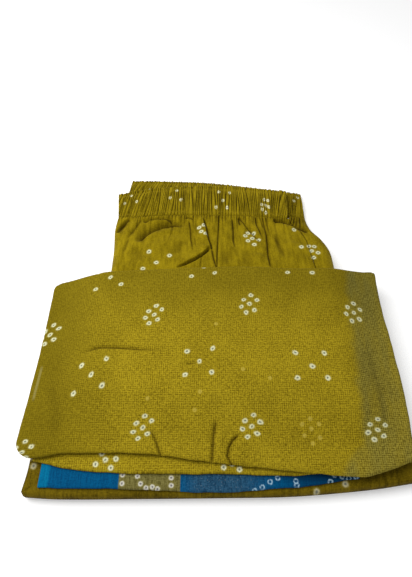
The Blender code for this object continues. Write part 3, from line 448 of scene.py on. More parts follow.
def band_share(rows, x):
    """How far along a band the place x of its seam lies."""
    return (x - rows[0].x_seam) / (rows[-1].x_seam - rows[0].x_seam)


def band_line(rows, x, column):
    return read_table(rows, "along", band_share(rows, x), column)


def waist_line(x):
    return band_line(FRONT_BAND_ROWS, x, "y_seam") - SEAM_GAP


def back_waist_line(x):
    return band_line(BACK_BAND_ROWS, x, "y_seam") - SEAM_GAP


def trouser_size(y):
    """The trousers' left edge, right edge and underside at each section."""
    left = read_table(TROUSER_ROWS, "y", y, "left")
    right = read_table(TROUSER_ROWS, "y", y, "right")
    return left, right, np.where(y > TROUSERS_ON_TABLE - 0.0005, 0.0, ON_KURTI)


def trouser_crown(x, y):
    """How high the trousers stand: the back panel lies lower beside the front band."""
    crown = read_table(TROUSER_ROWS, "y", y, "crown")
    return crown - WAIST_DROP * ease(x, *DROP_RIGHTWARD) * ease(y, *DROP_AWAY)


def gather_phase(along, across, seed):
    """Which gather a place belongs to, and how far across it: uneven in width and in slant."""
    slant = sum(lean * ease(along, *where) for lean, where in GATHER_SLANTS)
    count = BAND_GATHERS * (along - slant * (across - 0.5))
    return (count + 0.30 * np.sin(0.83 * count + seed) + 0.24 * np.sin(1.37 * count + 2 * seed)
            + 0.55 * (across - 0.5) * np.sin(0.53 * count + 3 * seed)
            + 0.12 * np.sin(5.0 * across + 1.9 * count))


def gather_form(along, across, seed):
    """A gather's height and size, and how deep a place lies in the valley beside it."""
    phase = gather_phase(along, across, seed)
    number = np.floor(phase)
    within = phase - number
    length = 0.72 + 0.28 * np.sin(4.0 * across + 3.1 * number + seed)
    ridge = 1 - np.abs(2 * within - 1) ** 2.8 * length
    size = 0.90 + 0.55 * np.sin(2.4 * number + seed) * np.cos(0.7 * number + 2 * seed)
    pinched = ease(np.sin(5.1 * number + 2.5 * across + seed), 0.1, 0.7)
    pinch = 0.42 * bell(within - 0.46, 0.08) * pinched
    valley = bell(np.minimum(within, 1 - within), 0.19) * length
    return ridge - pinch, size, np.maximum(valley, 1.6 * pinch)


def trouser_surface(x, y):
    """The upper face of the trousers, creases and gathers included, and the painted shade of its
    creases, gathers and recesses.
    """
    left, right, floor = trouser_size(y)
    radius = (trouser_crown(x, y) - floor) / 2
    past = np.clip(np.maximum(left + radius - x, x - right + radius), 0.0, radius)
    free = np.minimum((1 - past / radius) * 3, 1.0) * ease(y, *FOLDS_UNDER_DUPATTA)
    beside = ease(x, *BESIDE_BAND)
    below = np.maximum(mix(waist_line(x), back_waist_line(x), beside) - y, 0.0)
    phase = gather_phase((x - GATHERS_START) / GATHERS_LENGTH, 0.0, 1.7)
    number = np.floor(phase)
    within = phase - number
    fading = bell(below, 0.006 + 0.024 * np.sin(2.4 * number) ** 4, 1.6)
    relief, shade = creases_at(TROUSER_CREASES, x, y)
    relief = relief + GATHER_LIFT * np.sin(math.pi * within) * fading \
        + SWELL * wander(x, 0.021, 0.8) * bell(below, 0.040) + SWELL * ripple(x, y, 0.045, 0.3)
    tuck = bell(below, 0.0022)
    z = floor + radius + np.sqrt(radius ** 2 - past ** 2) + free * relief - 0.0008 * tuck
    seat = mix(band_line(FRONT_BAND_ROWS, x, "z_seam") - FRONT_LAP,
               band_line(BACK_BAND_ROWS, x, "z_seam") - BACK_LAP, beside)
    z = mix(z, np.minimum(z, seat), bell(below, 0.0032))
    # Painted shade in the gather valleys under the band and along the tuck, and painted shadow beside
    # the front band's end
    valley = 0.90 * bell(np.minimum(within, 1 - within), 0.16) * fading
    band_end_shadow = 0.32 * ease(x, 0.127, 0.133) * ease(y, 0.150, 0.176)
    return z, np.maximum.reduce([shade * free, valley, 0.06 * tuck, band_end_shadow])


# Meshes

def choose(item):
    """Makes a piece the active one, and the only one selected."""
    bpy.ops.object.select_all(action="DESELECT")
    item.select_set(True)
    bpy.context.view_layer.objects.active = item


def added(name, data):
    item = bpy.data.objects.new(name, data)
    bpy.context.scene.collection.objects.link(item)
    return item


def mesh_points(item):
    """A piece's points as three rows: x, y and z."""
    points = np.empty(len(item.data.vertices) * 3, np.float32)
    item.data.vertices.foreach_get("co", points)
    return points.reshape(-1, 3).T.astype(float)


def write_map(item, name, places):
    """Gives each point its place on a flat map, at every corner of its faces."""
    corners = np.empty(len(item.data.loops), np.int32)
    item.data.loops.foreach_get("vertex_index", corners)
    flat = np.column_stack(places)[corners].astype(np.float32)
    item.data.uv_layers[name].data.foreach_set("uv", flat.ravel())


def point_mask(item, name, values):
    """A value at each point, for the finish to read."""
    layer = item.data.attributes.new(name, "FLOAT", "POINT")
    layer.data.foreach_set("value", values.astype(np.float32))


def cloth_grid(name, columns, rows, place):
    """A grid of cloth. place gets each point's column and row, and gives its place, its place on
    the flat cloth and how much painted shade it gets from its folds."""
    bpy.ops.object.select_all(action="DESELECT")
    bpy.ops.mesh.primitive_grid_add(x_subdivisions=columns, y_subdivisions=rows, size=2.0)
    item = bpy.context.object
    item.name = item.data.name = name
    x, y, _ = mesh_points(item)
    points, flat, shade = place(np.rint((x + 1) / 2 * columns), np.rint((y + 1) / 2 * rows))
    item.data.vertices.foreach_set("co", np.column_stack(points).astype(np.float32).ravel())
    item.data.uv_layers[0].name = "Cloth"
    write_map(item, "Cloth", flat)
    # The fold mask: painted shade that the finish multiplies into the colour
    point_mask(item, "fold", shade)
    item.data.update()
    return item


def print_map(item, motifs, x, y):
    """A second map on a grid, whose whole steps fall on the flowers of the tied print."""
    places = [(motif.x, motif.y) for motif in motifs]
    item.data.uv_layers.new(name="Print")
    write_map(item, "Print", [smooth_through(places, [getattr(motif, step) for motif in motifs], x, y)
                              for step in ("a", "b")])


def give_thickness(item, thickness, rim_only=False):
    """Gives an open cloth its wall, inwards from the face that shows. A cloth that lies on more of
    its own folds needs the wall's rim alone."""
    choose(item)
    wall = item.modifiers.new("Cloth thickness", "SOLIDIFY")
    wall.thickness = thickness
    wall.offset = -1.0
    wall.use_rim_only = rim_only
    bpy.ops.object.modifier_apply(modifier=wall.name)


def close_seams(item):
    """Joins a grid's edges where they meet, closes its ends and turns its faces out."""
    choose(item)
    bpy.ops.object.mode_set(mode="EDIT")
    bpy.ops.mesh.select_all(action="SELECT")
    bpy.ops.mesh.remove_doubles(threshold=0.00002)
    bpy.ops.mesh.select_all(action="SELECT")
    bpy.ops.mesh.fill_holes(sides=0)
    bpy.ops.mesh.select_all(action="SELECT")
    bpy.ops.mesh.normals_make_consistent(inside=False)
    bpy.ops.object.mode_set(mode="OBJECT")


def dress(item, material, slot, *nodes):
    """Gives a finished piece its material, its shading and its place in the part."""
    item.data.materials.clear()
    item.data.materials.append(material)
    choose(item)
    bpy.ops.object.shade_smooth_by_angle(angle=math.radians(60))
    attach(item, "root")
    if nodes:
        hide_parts(*nodes)
    return item


def rounded_walk(share, width, depth, radius):
    """Walks round a rectangle with rounded corners: the place, and the way out, at each share."""
    arc = radius * math.pi / 2
    runs = [depth - 2 * radius, arc, width - 2 * radius, arc] * 2
    runs = np.array([run + 0.0 * share for run in runs])
    ends = np.cumsum(runs, axis=0)
    travel = (share % 1.0) * ends[-1]
    piece = np.minimum((travel >= ends).sum(axis=0), 7)
    passed = travel - np.take_along_axis(ends - runs, piece[None, :], axis=0)[0]
    turn = np.where(piece % 2 == 1, passed / radius, 0.0) + (piece // 2) * math.pi / 2
    half_x, half_y = width / 2 - radius, depth / 2 - radius
    centre_x = np.select([piece <= 1, piece == 2, piece <= 5, piece == 6, piece == 7],
                         [half_x, half_x - passed, -half_x, -half_x + passed, half_x])
    centre_y = np.select([piece == 0, piece <= 3, piece == 4, piece <= 7],
                         [-half_y + passed, half_y, half_y - passed, -half_y])
    return (centre_x + radius * np.cos(turn), centre_y + radius * np.sin(turn),
            np.cos(turn), np.sin(turn))


def stack_of_folds(name, outline, folds, floor, top, radius, waviness, near_softness,
                   around=460):
    """A stack of folded cloth as one rounded form: every fold's nose shows at its edges."""
    width, depth = outline_size(outline)
    base, last = 0.0, len(folds)
    levels = [(0.0, folds[0], UNDER_NOSE, scale, 0) for scale in reversed(INWARD)]
    for k, fold in enumerate(folds):
        levels += [(base + up * fold.share, fold, back, 1.0, k) for up, back in FOLD_NOSE]
        base += fold.share
    levels += [(1.0, folds[-1], OVER_NOSE, scale, last) for scale in (1.0, *INWARD)]
    shares, near, far, left, right, back, scales, seeds = (np.array(column) for column in zip(*[
        (up, fold.near, fold.far, fold.left, fold.right, nose, scale, 1.7 * k)
        for up, fold, nose, scale, k in levels]))

    def place(i, j):
        level = j.astype(int)
        x, y, out_x, out_y = rounded_walk(i / around, width, depth, radius)
        uneven = waviness * wander(i / around * 8.0, 1.0, 0.0) * np.sin(seeds[level] + 1.0) \
            + 0.6 * waviness * np.sin(seeds[level] * 2.3 + 40.0 * i / around)
        soft = 1.0 - near_softness * out_y ** 2 * (out_y < 0)
        bulge = 2 * shares[level] - 1
        rolled = np.where(bulge > 0, ROLL_OVER, ROLL_UNDER) * (1 - np.sqrt(1 - bulge ** 2))
        nearer = mix(near[level], rolled, ease(near_softness, 0.3, 0.9))
        inset = (back[level] + uneven) * soft \
            + out_x ** 2 * np.where(out_x > 0, right[level], left[level]) \
            + out_y ** 2 * np.where(out_y > 0, far[level], nearer)
        px, py = plan_point(outline, (x - out_x * inset) * scales[level] / width + 0.5,
                            (y - out_y * inset) * scales[level] / depth + 0.5)
        z = mix(floor(px, py), top(px, py), shares[level])
        # Painted shade in the clefts between the folds' noses
        cleft_shade = np.where(scales[level] == 1.0, back[level] / UNDER_NOSE, 0.0) * soft
        cleft_shade = np.where(level >= len(levels) - len(INWARD) - 1, 0.0, cleft_shade)
        under = np.clip(1.15 - shares[level] + 0.18 * wander(px, 0.060, 1.1), 0.0, 1.0)
        # Painted shade on the lower part of a rolled near edge, where it turns under
        turned_under_shade = near_softness * ease(-out_y, 0.3, 0.9) * ease(under, 0.25, 0.90)
        return (px, py, z), (px + out_x * z, py + out_y * z), np.maximum(0.8 * cleft_shade, turned_under_shade)

    item = cloth_grid(name, around, len(levels) - 1, place)
    close_seams(item)
    return item


def folded_leaf(name, outline, floor, thickness, columns=220):
    """A leaf of cloth folded at its near edge: over, round the nose and back below."""
    over, nose, under = 16, 9, 8
    reach = 0.98 * outline_size(outline)[1]
    radius = thickness / 2

    def place(i, j):
        turned = np.clip((j - over) / nose, 0.0, 1.0)
        inset = radius * (1 - np.sin(math.pi * turned)) \
            + np.where(j < over, reach * (1 - j / over) ** 1.5, 0.0) \
            + np.where(j > over + nose, reach * ((j - over - nose) / under) ** 1.5, 0.0)
        x, y = plan_point(outline, i / columns, inset / outline_size(outline)[1])
        swell = radius * (1 + 0.06 * wander(x, 0.09, 0.4))
        z = floor + radius + swell * np.cos(math.pi * turned)
        y = y + 0.0006 * wander(x, 0.07, 1.3) * bell(inset, 0.02, 1)
        # Painted shade on the lower half of the nose and the leaf turned under it
        return (x, y, z), (x, y - (z - floor) * (turned > 0)), 0.5 * ease(turned, 0.45, 0.9)

    item = cloth_grid(name, columns, over + nose + under, place)
    give_thickness(item, SHEER)
    return item


def rounded_corners(from_left, from_near, width, depth):
    """Pulls the four corners of a leaf in to small arcs. Gives both places again."""
    from_right, from_far = width - from_left, depth - from_near
    for across, away, radius in ((from_left, from_near, 0.010), (from_left, from_far, 0.013),
                                 (from_right, from_near, 0.004), (from_right, from_far, 0.007)):
        dx, dy = np.maximum(radius - across, 0.0), np.maximum(radius - away, 0.0)
        pull = np.maximum(dx, dy) / np.maximum(np.hypot(dx, dy), 1e-9)
        inside = (dx > 0) & (dy > 0)
        move_x = np.where(inside, dx * (1 - pull), 0.0)
        move_y = np.where(inside, dy * (1 - pull), 0.0)
        from_left = from_left + (move_x if across is not from_right else -move_x)
        from_near = from_near + (move_y if away is not from_far else -move_y)
    return from_left, from_near


def top_leaf(inner_columns=372, inner_rows=214):
    """The dupatta's top leaf, its edges rolled down over the folds."""
    width, depth = outline_size(DUPATTA_OUTLINE)
    spread = []

    def lines(inner, size, low_drop, high_drop):
        """Where each grid line lies across the leaf, and how far it drops at the lips."""
        low = [line.inset / size for line in LIP_LINES]
        middle = np.linspace(low[-1], 1 - low[-1], inner + 1)[1:-1]
        drops = np.array([line.drop for line in LIP_LINES])
        places = np.concatenate([low, middle, [1 - share for share in reversed(low)]])
        return places, np.concatenate([drops * low_drop, 0 * middle, drops[::-1] * high_drop])

    across, drop_across = lines(inner_columns, width, DROP_LEFT, DROP_RIGHT)
    away, drop_away = lines(inner_rows, depth, DROP_NEAR, DROP_FAR)
    columns, rows = len(across) - 1, len(away) - 1

    def place(i, j):
        i, j = i.astype(int), j.astype(int)
        from_left, from_near = rounded_corners(across[i] * width, away[j] * depth, width, depth)
        x, y = plan_point(DUPATTA_OUTLINE, from_left / width, from_near / depth)
        to_edge = np.minimum(away[j] * depth, np.minimum(across[i], 1 - across[i]) * width)
        rim = bell(to_edge, 0.012, 1)
        relief, shade = creases_at(LEAF_CREASES, x, y)
        z = dupatta_top(x, y) + relief \
            + 0.0009 * ripple(x, y, 0.085, 0.6) + 0.0004 * ripple(x, y, 0.031, 2.2) \
            + 0.0006 * rim * wander(x + y, 0.055, 0.9) - np.maximum(drop_across[i], drop_away[j])
        y = y + 0.0005 * rim * wander(x, 0.06, 2.0)
        spread.extend([x + np.where(i > columns / 2, 1.0, -1.0) * drop_across[i],
                       y + np.where(j > rows / 2, 1.0, -1.0) * drop_away[j]])
        return (x, y, z), spread, shade

    item = cloth_grid("dupatta_top_leaf_cloth", columns, rows, place)
    x, y, _ = mesh_points(item)
    print_map(item, PRINT_MOTIFS, *spread)
    tint = read_table(TINT_EDGE, "along", y, "at")
    point_mask(item, "tint", ease(x + 0.0025 * wander(y, 0.05, 0.7), tint - 0.005, tint + 0.009))
    # Painted shade that darkens the leaf towards its left, far and near edges
    point_mask(item, "painted_edge_shade", np.maximum.reduce([ease(x, *PAINTED_SHADE_LEFT), 0.80 * ease(y, *PAINTED_SHADE_FAR),
                                               0.02 * ease(y, *PAINTED_SHADE_NEAR)]))
    give_thickness(item, SHEER, rim_only=True)
    return item


def trouser_front(name, left_seam, right_seam, columns, rows=150):
    """One front panel, from the waist seam to under the dupatta. The panel with no left seam
    starts half way down the rounded left edge."""
    arc_steps = 0 if left_seam else 10

    def place(i, j):
        y = mix(TROUSERS_ON_TABLE, waist_line(0.0), j / rows)
        for _ in range(2):
            left, _, floor = trouser_size(y)
            radius = (trouser_crown(left, y) - floor) / 2
            rim = left + radius
            start = read_table(left_seam, "y", y, "x") + SEAM_GAP if left_seam else rim
            end = read_table(right_seam, "y", y, "x") - SEAM_GAP
            x = mix(start, end, (i - arc_steps) / (columns - arc_steps))
            if arc_steps:
                x = np.where(i < arc_steps, rim - radius * np.cos(math.pi / 2 * i / arc_steps), x)
            y = mix(TROUSERS_ON_TABLE, waist_line(x), j / rows)
        z, shade = trouser_surface(x, y)
        seam = bell(end - x, SEAM_WIDTH)
        if left_seam:
            seam = np.maximum(0.55 * seam, bell(x - start, SEAM_WIDTH))
        return (x, y, z - SEAM_DIP * seam), (x, y), np.maximum(shade, 0.6 * seam)

    item = cloth_grid(name, columns, rows, place)
    give_thickness(item, COTTON)
    return item


def trouser_back():
    """The back panel: from the side seam round the right edge, flat on the table, and round the
    left edge to the front panel."""
    top_steps, arc_steps, floor_steps, rise_steps, rows = 26, 26, 40, 12, 90
    turned = top_steps + arc_steps
    risen = turned + floor_steps

    def place(i, j):
        y = mix(TROUSERS_ON_TABLE, waist_line(0.0), j / rows)
        part = [i <= top_steps, i <= turned, i <= risen]
        round_right = math.pi * (0.5 - np.clip((i - top_steps) / arc_steps, 0, 1))
        round_left = -math.pi / 2 - math.radians(80) * np.clip((i - risen) / rise_steps, 0, 1)
        for _ in range(2):
            left, right, floor = trouser_size(y)
            right_radius = (trouser_crown(right, y) - floor) / 2
            left_radius = (trouser_crown(left, y) - floor) / 2
            right_axis, left_axis = right - right_radius, left + left_radius
            seam = read_table(SIDE_SEAM, "y", y, "x") + SEAM_GAP
            top_x = mix(seam, right_axis, np.clip(i / top_steps, 0, 1))
            x = np.select(part, [top_x, right_axis + right_radius * np.cos(round_right),
                                 mix(right_axis, left_axis, (i - turned) / floor_steps)],
                          left_axis + left_radius * np.cos(round_left))
            front, back = waist_line(x), back_waist_line(x)
            last = np.select(part, [mix(front, back, ease(x, *BESIDE_BAND)), back, back], front)
            y = mix(TROUSERS_ON_TABLE, last, j / rows)
        surface, shade = trouser_surface(top_x, y)
        at_seam = bell(top_x - seam, SEAM_WIDTH) * part[0]
        z = np.select(part, [surface - SIDE_SEAM_DIP * at_seam,
                             floor + right_radius + right_radius * np.sin(round_right), floor],
                      floor + left_radius + left_radius * np.sin(round_left))
        around = np.select(part, [x, right + (i - top_steps) * 0.0012, 2 * right - x],
                           3 * right - left + (i - risen) * 0.001)
        # Painted shadow where the back panel lies lower beside the front band's end
        recess_shadow = 0.45 * ease(x, *DROP_RIGHTWARD) * ease(y, 0.150, 0.178)
        shade = np.where(part[0], np.maximum(shade, 0.33 * at_seam), 0.0)
        return (x, y, z), (around, y), np.maximum(shade, recess_shadow)

    item = cloth_grid("trouser_back_cloth", risen + rise_steps, rows, place)
    give_thickness(item, COTTON)
    return item


def folded_legs(around=96):
    """The folded legs, and all else that the front panels hide, as one rounded form."""
    sections = np.array([LEG_SECTIONS[0], *LEG_SECTIONS, LEG_SECTIONS[-1]])

    def place(i, j):
        y = sections[j.astype(int)]
        left, right, floor = trouser_size(y)
        inset = np.where(floor == 0.0, LEG_INSET, 0.0)
        crown = np.minimum(read_table(TROUSER_ROWS, "y", y, "crown"), trouser_crown(right, y))
        radius = (crown - floor) / 2 - inset
        x, z, _, out_z = rounded_walk(i / around, right - left - 2 * inset, 2 * radius + 1e-5, radius)
        middle = floor + inset + radius
        lower = np.where((floor == 0.0) & (out_z > 0.3), LEG_CLEARANCE - LEG_INSET, 0.0)
        open_ring = np.where((j == 0) | (j == len(sections) - 1), 0.0, 1.0)
        z = mix(middle, middle + z - lower, open_ring)
        x = (left + right) / 2 + x * mix(0.98, 1.0, open_ring)
        return (x, y, z), (x, y + z), 0.0 * z

    item = cloth_grid("trouser_legs_cloth", around, len(sections) - 1, place)
    close_seams(item)
    return item


def band_place(rows, along, across):
    """The place on a band's upper face at shares along and across it."""
    at = {field: read_table(rows, "along", along, field) for field in BandRow._fields[1:]}
    return [mix(at[axis + "_seam"], at[axis + "_top"], across) for axis in "xyz"]


def waistband(name, rows, lowest, seed):
    """One half of the gathered casing: a flat tube whose wall rises at each gather."""
    columns, steps = BAND_GATHERS * 14, 2 * (len(BAND_FORM) - 1)
    turn = np.linspace(0, len(BAND_FORM) - 1, steps + 1)
    across, under, depth = (np.interp(turn, np.arange(len(BAND_FORM)), column)
                            for column in zip(*BAND_FORM))

    def place(i, j):
        j, along = j.astype(int), i / columns
        ridge, size, valley = gather_form(along, across[j], seed)
        x, y, top = band_place(rows, along, across[j])
        bottom = 0.0 if lowest else top - BAND_THICKNESS
        z = mix(top + GATHER_DEPTH * size * (2 * ridge - 1) * depth[j], bottom, under[j])
        end = np.clip(np.minimum(along, 1 - along) / 0.006, 0, 1)
        z = mix((top + bottom) / 2, z, np.sqrt(1 - (1 - end) ** 2))
        y = y + 0.0006 * size * ridge * ease(across[j], 0.90, 1.0)
        # Painted shade in the gather valleys, and painted shadow of the front band on the right end of
        # the back band
        recess_shadow = 0.28 * ease(x, 0.128, 0.134) * lowest
        shade = np.maximum(0.9 * valley * np.clip(depth[j], 0.0, 1.0), recess_shadow)
        return (x, y, z), (along * GATHERED_LENGTH, across[j] * BAND_WIDTH + under[j] * 0.01), shade

    item = cloth_grid(name, columns, steps, place)
    close_seams(item)
    return item


def stitch_row(name, rows, across, lowest, seed):
    """A row of topstitches across the gathers of a band, sunk between their ridges."""
    bpy.ops.object.select_all(action="DESELECT")
    bpy.ops.mesh.primitive_cylinder_add(vertices=6, radius=STITCH_RADIUS, depth=STITCH_LENGTH,
                                        rotation=(0, math.pi / 2, 0))
    stitch = bpy.context.object
    bpy.ops.object.transform_apply(location=True, rotation=True, scale=True)
    shape = np.column_stack(mesh_points(stitch))
    faces = [list(face.vertices) for face in stitch.data.polygons]
    bpy.data.objects.remove(stitch)
    along = (np.arange(STITCHES) + 0.5) / STITCHES
    upward, *form = zip(*BAND_FORM[:14])
    under, depth = (np.interp(across, upward, column) for column in form)
    ridge, size, _ = gather_form(along, across, seed)
    x, y, top = band_place(rows, along, across)
    bottom = 0.0 if lowest else top - BAND_THICKNESS
    z = mix(top + GATHER_DEPTH * size * (2 * ridge - 1) * depth, bottom, under) + STITCH_LIFT
    points = (np.column_stack([x, y, z])[:, None, :] + shape[None, :, :]).reshape(-1, 3)
    mesh = bpy.data.meshes.new(name)
    mesh.from_pydata(points.tolist(), [], [[corner + k * len(shape) for corner in face]
                                           for k in range(STITCHES) for face in faces])
    return added(name, mesh)


# Finishes

class Wire:
    """A value in a finish's nodes. Sums and products of wires add the nodes that work them out."""

    def __init__(self, finish, socket):
        self.finish = finish
        self.socket = socket

    def sum_with(self, operation, *values):
        inputs = dict(enumerate((self, *values)))
        return self.finish.node("ShaderNodeMath", inputs, operation=operation)

    def __add__(self, other):
        return self.sum_with("ADD", other)

    def __sub__(self, other):
        return self.sum_with("SUBTRACT", other)

    def __mul__(self, other):
        return self.sum_with("MULTIPLY", other)

    def __abs__(self):
        return self.sum_with("ABSOLUTE")

    __radd__ = __add__
    __rmul__ = __mul__

    def least(self, other):
        return self.sum_with("MINIMUM", other)

    def rises(self, start, end):
        """0 up to start and 1 from end on, with a soft slope between; start may be the larger."""
        low, high = min(start, end), max(start, end)
        ends = (0.0, 1.0) if start < end else (1.0, 0.0)
        return self.finish.node("ShaderNodeMapRange",
                                {0: self, 1: low, 2: high, 3: ends[0], 4: ends[1]},
                                interpolation_type="SMOOTHSTEP")


class Finish:
    """One cloth's material, and the ways to add nodes to it."""

    def __init__(self, name, roughness=0.85, sheen=0.02):
        self.material = bpy.data.materials.new(name)
        self.material.use_nodes = True
        self.tree = self.material.node_tree
        self.shader = self.tree.nodes["Principled BSDF"]
        self.shader.inputs["Roughness"].default_value = roughness
        self.shader.inputs["Sheen Weight"].default_value = sheen
        self.shader.inputs["Sheen Roughness"].default_value = 0.4
        self.shader.inputs["Specular IOR Level"].default_value = 0.04

    def node(self, kind, inputs, output=0, **settings):
        made = self.tree.nodes.new(kind)
        for setting, value in settings.items():
            setattr(made, setting, value)
        for socket, value in inputs.items():
            if isinstance(value, Wire):
                self.tree.links.new(value.socket, made.inputs[socket])
            else:
                made.inputs[socket].default_value = value
        return Wire(self, made.outputs[output])

    def vector(self, operation, first, second, output=0):
        return self.node("ShaderNodeVectorMath", {0: first, 1: second}, output=output,
                         operation=operation)

    def map_place(self, name):
        return self.node("ShaderNodeUVMap", {}, uv_map=name)

    def plan_place(self):
        """The place seen from above, in the part's own X and Y."""
        place = self.node("ShaderNodeTexCoord", {}, output="Object")
        return self.scaled(place, (1.0, 1.0, 0.0))

    def scaled(self, place, factors):
        return self.vector("MULTIPLY", place, factors)

    def moved(self, place, by, amount):
        """A place shifted by a coloured noise."""
        centred = self.vector("SUBTRACT", by, (0.5, 0.5, 0.5))
        return self.vector("ADD", place, self.scaled(centred, (amount, amount, 0.0)))

    def split(self, place):
        node = self.node("ShaderNodeSeparateXYZ", {0: place}).socket.node
        return Wire(self, node.outputs[0]), Wire(self, node.outputs[1])

    def noise(self, place, scale, detail=2.0, output="Fac"):
        return self.node("ShaderNodeTexNoise", {"Vector": place, "Scale": scale, "Detail": detail},
                         output=output)

    def stretched_noise(self, place, factors, detail=2.0):
        return self.noise(self.scaled(place, (*factors, 1.0)), 1.0, detail)

    def mask(self, name):
        return self.node("ShaderNodeAttribute", {}, output="Fac", attribute_name=name)

    def blend(self, share, first, second, blend_type="MIX"):
        """One colour turning into another. A colour that isn't a wire has three numbers."""
        first, second = (colour if isinstance(colour, Wire) else (*colour, 1.0)
                         for colour in (first, second))
        return self.node("ShaderNodeMix", {0: share, 6: first, 7: second}, output=2,
                         data_type="RGBA", blend_type=blend_type, clamp_factor=True)

    def nearest(self, place, table):
        """How far each place is from the nearest spot of a table."""
        nearest = None
        for spot in table:
            away = self.vector("DISTANCE", place, (*spot, 0.0), "Value")
            nearest = nearest.least(away) if nearest else away
        return nearest

    def threads(self, place, thread, length, seed):
        """Slubby warp and weft: streaks along and across the cloth, from about 0 to 1."""
        along, across = 1.0 / length, 1.0 / thread
        shifted = self.vector("ADD", place, (seed, 0.7 * seed, 0.0))
        weft = self.stretched_noise(shifted, (along, across), 3.0)
        warp = self.stretched_noise(shifted, (across, along), 3.0)
        return 0.5 * weft + 0.5 * warp

    def weave(self, place, spacing, strength):
        """The grid of warp and weft, a little loose, its threads showing more in some places."""
        x, y = self.split(place)
        turn = 2 * math.pi / spacing
        loose = 4.0 * self.noise(place, 26.0, 2.0)
        weft = (turn * y + loose).sum_with("SINE") * self.noise(place, 60.0, 1.0)
        warp = (turn * x + 1.4 * loose).sum_with("SINE") * self.noise(place, 47.0, 1.0)
        return 0.5 + strength * (weft + warp)

    def tied_dots(self, ground, away, place, cream, heart, size=0.0034):
        """Tied dots: a pale ring with soft, ragged edges round a small dark heart."""
        ragged = away + (self.noise(place, 560.0) - 0.5) * 0.0026
        uneven = self.noise(place, 260.0, 1.0).rises(0.30, 0.60)
        halo = ragged.rises(1.75 * size, 0.9 * size) * 0.22
        ring = ragged.rises(1.26 * size, 0.66 * size) * (0.72 + 0.28 * uneven)
        centre = ragged.rises(0.60 * size, 0.22 * size) * 0.85
        haloed = self.blend(halo, ground, HALO)
        ringed = self.blend(ring, haloed, cream)
        return self.blend(centre, ringed, heart)

    def finish_cloth(self, colour, height, depth, strength):
        """Feeds the colour, darkened by the painted shade of the fold mask, and a relief of so many
        metres, to the shader.
        """
        # The fold mask holds painted shade in creases, gather valleys, clefts and recesses, and the
        # darker seam lines
        shaded = self.blend(self.mask("fold"), colour, FOLD_SHADE, "MULTIPLY")
        self.tree.links.new(shaded.socket, self.shader.inputs["Base Color"])
        bump = self.node("ShaderNodeBump", {"Height": height, "Distance": depth,
                                            "Strength": strength})
        self.tree.links.new(bump.socket, self.shader.inputs["Normal"])
        return self.material


# Colours, dark and light threads in pairs
SHEER_COLOURS = (0.142, 0.097, 0.0020), (0.440, 0.326, 0.0135)
TROUSER_COLOURS = (0.146, 0.102, 0.0008), (0.322, 0.234, 0.0044)
BAND_COLOURS = (0.165, 0.117, 0.0012), (0.375, 0.278, 0.0075)
# The kurti's cotton, darkened with painted shade for the shadow it lies in under the stack
SHADED_KURTI_COLOURS = (0.064, 0.043, 0.0006), (0.184, 0.126, 0.0044)
TINT_COLOURS = (0.058, 0.054, 0.012), (0.250, 0.238, 0.066)
BLUE_COLOURS = (0.0002, 0.050, 0.138), (0.0006, 0.100, 0.236)
DUSTY_COLOURS = (0.006, 0.030, 0.060), (0.036, 0.104, 0.170)
BRIGHT_COLOURS = (0.0004, 0.110, 0.235), (0.0010, 0.176, 0.335)
STRIPE_COLOURS = (0.080, 0.066, 0.012), (0.215, 0.190, 0.055)
THREAD_COLOURS = (0.20, 0.14, 0.008), (0.34, 0.25, 0.022)
FLOOR_COLOURS = (0.90, 0.90, 0.90), (0.92, 0.92, 0.92)
CREAM, HEART, HALO = (0.71, 0.71, 0.44), (0.125, 0.135, 0.115), (0.42, 0.36, 0.07)
# The kurti's cream is dulled with painted shade
SHADED_KURTI_CREAM, BAND_CREAM = (0.46, 0.42, 0.24), (0.95, 0.92, 0.56)
BORDER_CREAM, BORDER_HEART, BORDER_RING = (0.62, 0.60, 0.50), (0.09, 0.08, 0.10), (0.42, 0.62, 0.74)
BORDER_DEEP, BORDER_FLECK = (0.0006, 0.020, 0.062), (0.34, 0.42, 0.48)
LEAF_PAINTED_SHADE, LEAF_STREAK, LEAF_GHOST = (0.10, 0.074, 0.001), (0.46, 0.42, 0.17), (0.80, 0.64, 0.12)
# The painted shade that the fold mask multiplies into every cloth's colour
FOLD_SHADE = (0.20, 0.165, 0.10)

# Where painted shade darkens the top leaf towards its edges, and the pale streak along its left lip
PAINTED_SHADE_LEFT, PAINTED_SHADE_FAR, PAINTED_SHADE_NEAR = Slope(-0.095, -0.235), Slope(-0.085, 0.030), Slope(-0.16, -0.24)
STREAK_X, STREAK_Y, STREAK_LEAN = -0.2373, -0.1365, 0.05


def sheer_ground(finish, place):
    """The dupatta's slubby olive-mustard weave: its colour and its threads."""
    threads = finish.threads(place, 0.0013, 0.0048, 0.0)
    weave = finish.weave(place, 0.0027, 0.5)
    speckle = finish.noise(place, 640.0, 2.0)
    grain = 0.52 * threads + 0.10 * weave + 0.29 * speckle + 0.09 * finish.noise(place, 22.0, 2.0)
    return (finish.blend(grain.rises(0.38, 0.62), *SHEER_COLOURS),
            threads + 0.3 * speckle + 0.3 * weave)


